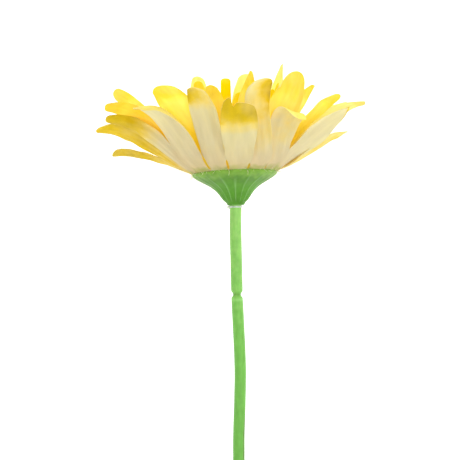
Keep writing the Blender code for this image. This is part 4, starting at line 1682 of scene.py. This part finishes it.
def fringe_tree():
    tree, given = new_tree("two_rows_of_strips", FRINGE)
    number = add(tree, "GeometryNodeInputIndex")
    turn = add(tree, "ShaderNodeMath", {0: 2 * math.pi, 1: given["Count"]}, operation="DIVIDE")
    azimuth = add(tree, "ShaderNodeMath", {0: number, 1: turn}, operation="MULTIPLY")
    row = add(tree, "ShaderNodeMath", {0: number, 1: 2.0}, operation="MODULO")
    inset = add(tree, "ShaderNodeMath", {0: row, 1: given["Row Step"]}, operation="MULTIPLY")
    radius = add(tree, "ShaderNodeMath", {0: given["Root Radius"], 1: inset}, operation="SUBTRACT")
    sine = add(tree, "ShaderNodeMath", {0: azimuth}, operation="SINE")
    cosine = add(tree, "ShaderNodeMath", {0: azimuth}, operation="COSINE")
    x = add(tree, "ShaderNodeMath", {0: sine, 1: radius}, operation="MULTIPLY")
    y = add(tree, "ShaderNodeMath", {0: cosine, 1: radius}, operation="MULTIPLY")
    back = add(tree, "ShaderNodeMath", {0: y, 1: -1.0}, operation="MULTIPLY")
    place = add(tree, "ShaderNodeCombineXYZ", {"X": x, "Y": back, "Z": given["Root Height"]})
    points = add(tree, "GeometryNodePoints", {"Count": given["Count"], "Position": place})
    low = add(tree, "ShaderNodeMath", {0: given["Sway"], 1: -1.0}, operation="MULTIPLY")
    lean = add(
        tree, "FunctionNodeRandomValue", {"Min": low, "Max": given["Sway"], "Seed": given["Seed"]}
    )
    steeper = add(
        tree, "ShaderNodeMath", {0: row, 1: given["Inner Lean"], 2: lean}, operation="MULTIPLY_ADD"
    )
    upright = add(tree, "ShaderNodeCombineXYZ", {"X": steeper, "Y": lean, "Z": azimuth})
    rotation = add(tree, "FunctionNodeEulerToRotation", {"Euler": upright})
    size = add(
        tree,
        "FunctionNodeRandomValue",
        {"Min": given["Shortest"], "Max": given["Longest"], "Seed": given["Seed"]},
    )
    copies = add(
        tree,
        "GeometryNodeInstanceOnPoints",
        {"Points": points, "Instance": given["Geometry"], "Rotation": rotation, "Scale": size},
    )
    tone = add(tree, "FunctionNodeRandomValue", {"Min": 0.0, "Max": 1.0, "Seed": TONE_SEED})
    marked = add(
        tree,
        "GeometryNodeStoreNamedAttribute",
        {"Geometry": copies, "Name": "petal", "Value": tone},
        data_type="FLOAT",
        domain="INSTANCE",
    )
    real = add(tree, "GeometryNodeRealizeInstances", {"Geometry": marked})
    painted = add(tree, "GeometryNodeSetMaterial", {"Geometry": real, "Material": cloths["fringe"]})
    add(tree, "NodeGroupOutput", {"Geometry": painted})
    return tree


grow("fringe_strips", strip, fringe_tree(), FRINGE)


# %% The ring that the strips are cut from
def make_fringe_ring():
    sides, inner, outer = FRINGE["Count"], HUB_HOLE, STRIP_ROOT * MM
    points, quads = [], []
    radii = [inner, (inner + outer) / 2, outer]
    for radius in radii:
        for side in range(sides):
            point = hub_point(radius, FRINGE_LEVEL, 2 * math.pi * side / sides)
            points.append(point)
    for band in range(len(radii) - 1):
        for side in range(sides):
            beside = (side + 1) % sides
            low, high = band * sides, (band + 1) * sides
            quads.append((low + side, low + beside, high + beside, high + side))
    points, faces = two_faced(points, quads, STRIP_THICKNESS * MM)
    points = [head @ point for point in points]
    still = [0.0] * len(points)
    values = {"along": still, "reverse": still, "dye": still, "petal": still}
    piece = mesh_piece("fringe_ring", points, faces, cloths["fringe"], "fringe", **values)
    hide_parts("fringe")


make_fringe_ring()

# %% [markdown]
# ## Loose threads at the rim
#
# Where the die has cut taffeta, its edge frays. A few short fibres stand out between the cloth
# and the calyx's rim, as fuzz that softens that edge. One fibre is a thin bent tube. A tree sets
# copies round the rim, each at its own place, turn and size by a seeded draw.

# %% One fibre
FIBRE_LENGTH = 3.2
FIBRE_THICKNESS = 0.26  # mm: several real ones that cling together
FIBRE_NARROWING = 0.6
FIBRE_KINK = 0.25
FIBRE_KINK_TURN = 4  # radians of a wave from its root to its tip
FIBRE_DROOP = 0.5
FIBRE_STEPS = 4
FIBRE_SIDES = 3


def one_fibre():
    rings = []
    for step in range(FIBRE_STEPS + 1):
        share = step / FIBRE_STEPS
        kink = FIBRE_KINK * math.sin(FIBRE_KINK_TURN * share)
        centre = Vector((share * FIBRE_LENGTH, kink, -FIBRE_DROOP * share**2)) * MM
        radius = FIBRE_THICKNESS / 2 * (1 - FIBRE_NARROWING * share) * MM
        turns = [2 * math.pi * side / FIBRE_SIDES for side in range(FIBRE_SIDES)]
        rings.append([centre + Vector((0, math.cos(turn), math.sin(turn))) * radius for turn in turns])
    points, faces = rings_to_faces(rings, closed=False)
    whole = [1.0] * len(points)
    return small_shape("fibre", points, faces, reverse=whole, along=whole)


fibre = one_fibre()

# %% Fibres round the rim
FRAYING = {
    "Count": 90,
    "Rim Radius": 17.95 * MM,
    "Scatter": 0.35 * MM,
    "Shortest": 0.3,
    "Longest": 1.0,
    "Swing": 1.4,
    "Highest": -0.9,
    "Lowest": 1.3,
    "Seed": 8,
}
OUT_SEED = 2
HEIGHT_SEED = 4
SIZE_SEED = 5
SWING_SEED = 6
DROOP_SEED = 7


def fraying_tree():
    tree, given = new_tree("loose_threads", FRAYING)
    azimuth = add(
        tree, "FunctionNodeRandomValue", {"Min": 0.0, "Max": 2 * math.pi, "Seed": given["Seed"]}
    )
    low = add(tree, "ShaderNodeMath", {0: given["Scatter"], 1: -1.0}, operation="MULTIPLY")
    scatter = {"Min": low, "Max": given["Scatter"]}
    out = add(tree, "FunctionNodeRandomValue", {**scatter, "Seed": OUT_SEED})
    height = add(tree, "FunctionNodeRandomValue", {**scatter, "Seed": HEIGHT_SEED})
    radius = add(tree, "ShaderNodeMath", {0: given["Rim Radius"], 1: out})
    sine = add(tree, "ShaderNodeMath", {0: azimuth}, operation="SINE")
    cosine = add(tree, "ShaderNodeMath", {0: azimuth}, operation="COSINE")
    x = add(tree, "ShaderNodeMath", {0: cosine, 1: radius}, operation="MULTIPLY")
    y = add(tree, "ShaderNodeMath", {0: sine, 1: radius}, operation="MULTIPLY")
    place = add(tree, "ShaderNodeCombineXYZ", {"X": x, "Y": y, "Z": height})
    points = add(tree, "GeometryNodePoints", {"Count": given["Count"], "Position": place})
    left = add(tree, "ShaderNodeMath", {0: given["Swing"], 1: -1.0}, operation="MULTIPLY")
    swings = {"Min": left, "Max": given["Swing"], "Seed": SWING_SEED}
    swing = add(tree, "FunctionNodeRandomValue", swings)
    droops = {"Min": given["Highest"], "Max": given["Lowest"], "Seed": DROOP_SEED}
    droop = add(tree, "FunctionNodeRandomValue", droops)
    heading = add(tree, "ShaderNodeMath", {0: azimuth, 1: swing})
    turn = add(tree, "ShaderNodeCombineXYZ", {"Y": droop, "Z": heading})
    rotation = add(tree, "FunctionNodeEulerToRotation", {"Euler": turn})
    lengths = {"Min": given["Shortest"], "Max": given["Longest"], "Seed": SIZE_SEED}
    size = add(tree, "FunctionNodeRandomValue", lengths)
    copies = add(
        tree,
        "GeometryNodeInstanceOnPoints",
        {"Points": points, "Instance": given["Geometry"], "Rotation": rotation, "Scale": size},
    )
    real = add(tree, "GeometryNodeRealizeInstances", {"Geometry": copies})
    painted = add(tree, "GeometryNodeSetMaterial", {"Geometry": real, "Material": cloths["petals_outer"]})
    add(tree, "NodeGroupOutput", {"Geometry": painted})
    return tree


grow("loose_threads", fibre, fraying_tree(), FRAYING)

# %% [markdown]
# ## Floor and light
#
# The picture has a plain white background and almost no shadow, which is a light tent: white light
# from all round, a large soft lamp on the right, in front of the flower, and a second one over the
# bloom. The floor under the flower is white paper, and it glows a little, as paper in a tent does.

# %% White paper floor
TABLE_LIGHT = 0.5
FLOOR_HALF = 1.0


def white_paper():
    made, tree = blank("white_paper")
    here = add(tree, "ShaderNodeTexCoord").outputs["Object"]
    fibres = add(tree, "ShaderNodeTexNoise", {"Vector": here, "Scale": scale_for(2), "Detail": 3})
    tint = add(tree, "ShaderNodeValToRGB", {"Fac": fibres}, stops=[(0.3, "#FBFBFB"), (0.7, "#FFFFFF")])
    surface = add(
        tree,
        "ShaderNodeBsdfPrincipled",
        {"Base Color": tint, "Roughness": 0.9, "Emission Color": tint, "Emission Strength": TABLE_LIGHT},
    )
    add(tree, "ShaderNodeOutputMaterial", {"Surface": surface})
    return made


sides_of_floor = [(-1, -1), (1, -1), (1, 1), (-1, 1)]
corners = [(x * FLOOR_HALF, y * FLOOR_HALF, 0) for x, y in sides_of_floor]
floor_mesh = bpy.data.meshes.new("paper_floor")
floor_mesh.from_pydata(corners, [], [(0, 1, 2, 3)])
floor_mesh.materials.append(white_paper())
floor = bpy.data.objects.new("paper_floor", floor_mesh)
bpy.context.scene.collection.objects.link(floor)
floor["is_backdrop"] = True
print(f"paper floor: {2 * FLOOR_HALF:.0f} m square")

# %% Lamps and surroundings
LAMPS_AIM = Vector((0, 0.05, 0.03))
LAMP_PLACE = Vector((0.34, -0.15, 1.0))
LAMP_SIZE = 0.8
LAMP_POWER = 4.15
TOP_LAMP_PLACE = Vector((0.1, 0.9, 0.45))
TOP_LAMP_POWER = 3.0
TENT_LIGHT = 0.85


def lamp(name, place, size, power):
    light = bpy.data.objects.new(name, bpy.data.lights.new(name, "AREA"))
    light.data.shape = "DISK"
    light.data.size = size
    light.data.energy = power
    light.location = place
    light.rotation_euler = (LAMPS_AIM - place).to_track_quat("-Z", "Y").to_euler()
    bpy.context.scene.collection.objects.link(light)
    print(f"{name}: {power} W, {size} m across")


lamp("key_lamp", LAMP_PLACE, LAMP_SIZE, LAMP_POWER)
lamp("lamp_over_the_bloom", TOP_LAMP_PLACE, LAMP_SIZE, TOP_LAMP_POWER)
world = bpy.data.worlds.new("light_tent")
world.use_nodes = True
tent = world.node_tree.nodes["Background"].inputs
tent["Color"].default_value = colour("#FFFFFF")
tent["Strength"].default_value = TENT_LIGHT
bpy.context.scene.world = world
bpy.context.scene.view_settings.view_transform = "Standard"

# %% [markdown]
# ## Sizes, printed
#
# The dressed flower has to stay the size of its solids. Both boxes are printed, so that they can
# be compared.

# %% Sizes and the end
dressed_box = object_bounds()
boxes = {
    "cad": [list(corner) for corner in cad_box],
    "visual": [list(corner) for corner in dressed_box],
}
for name, (low, high) in boxes.items():
    print(name, "box, mm:", [round((b - a) / MM, 1) for a, b in zip(low, high)])
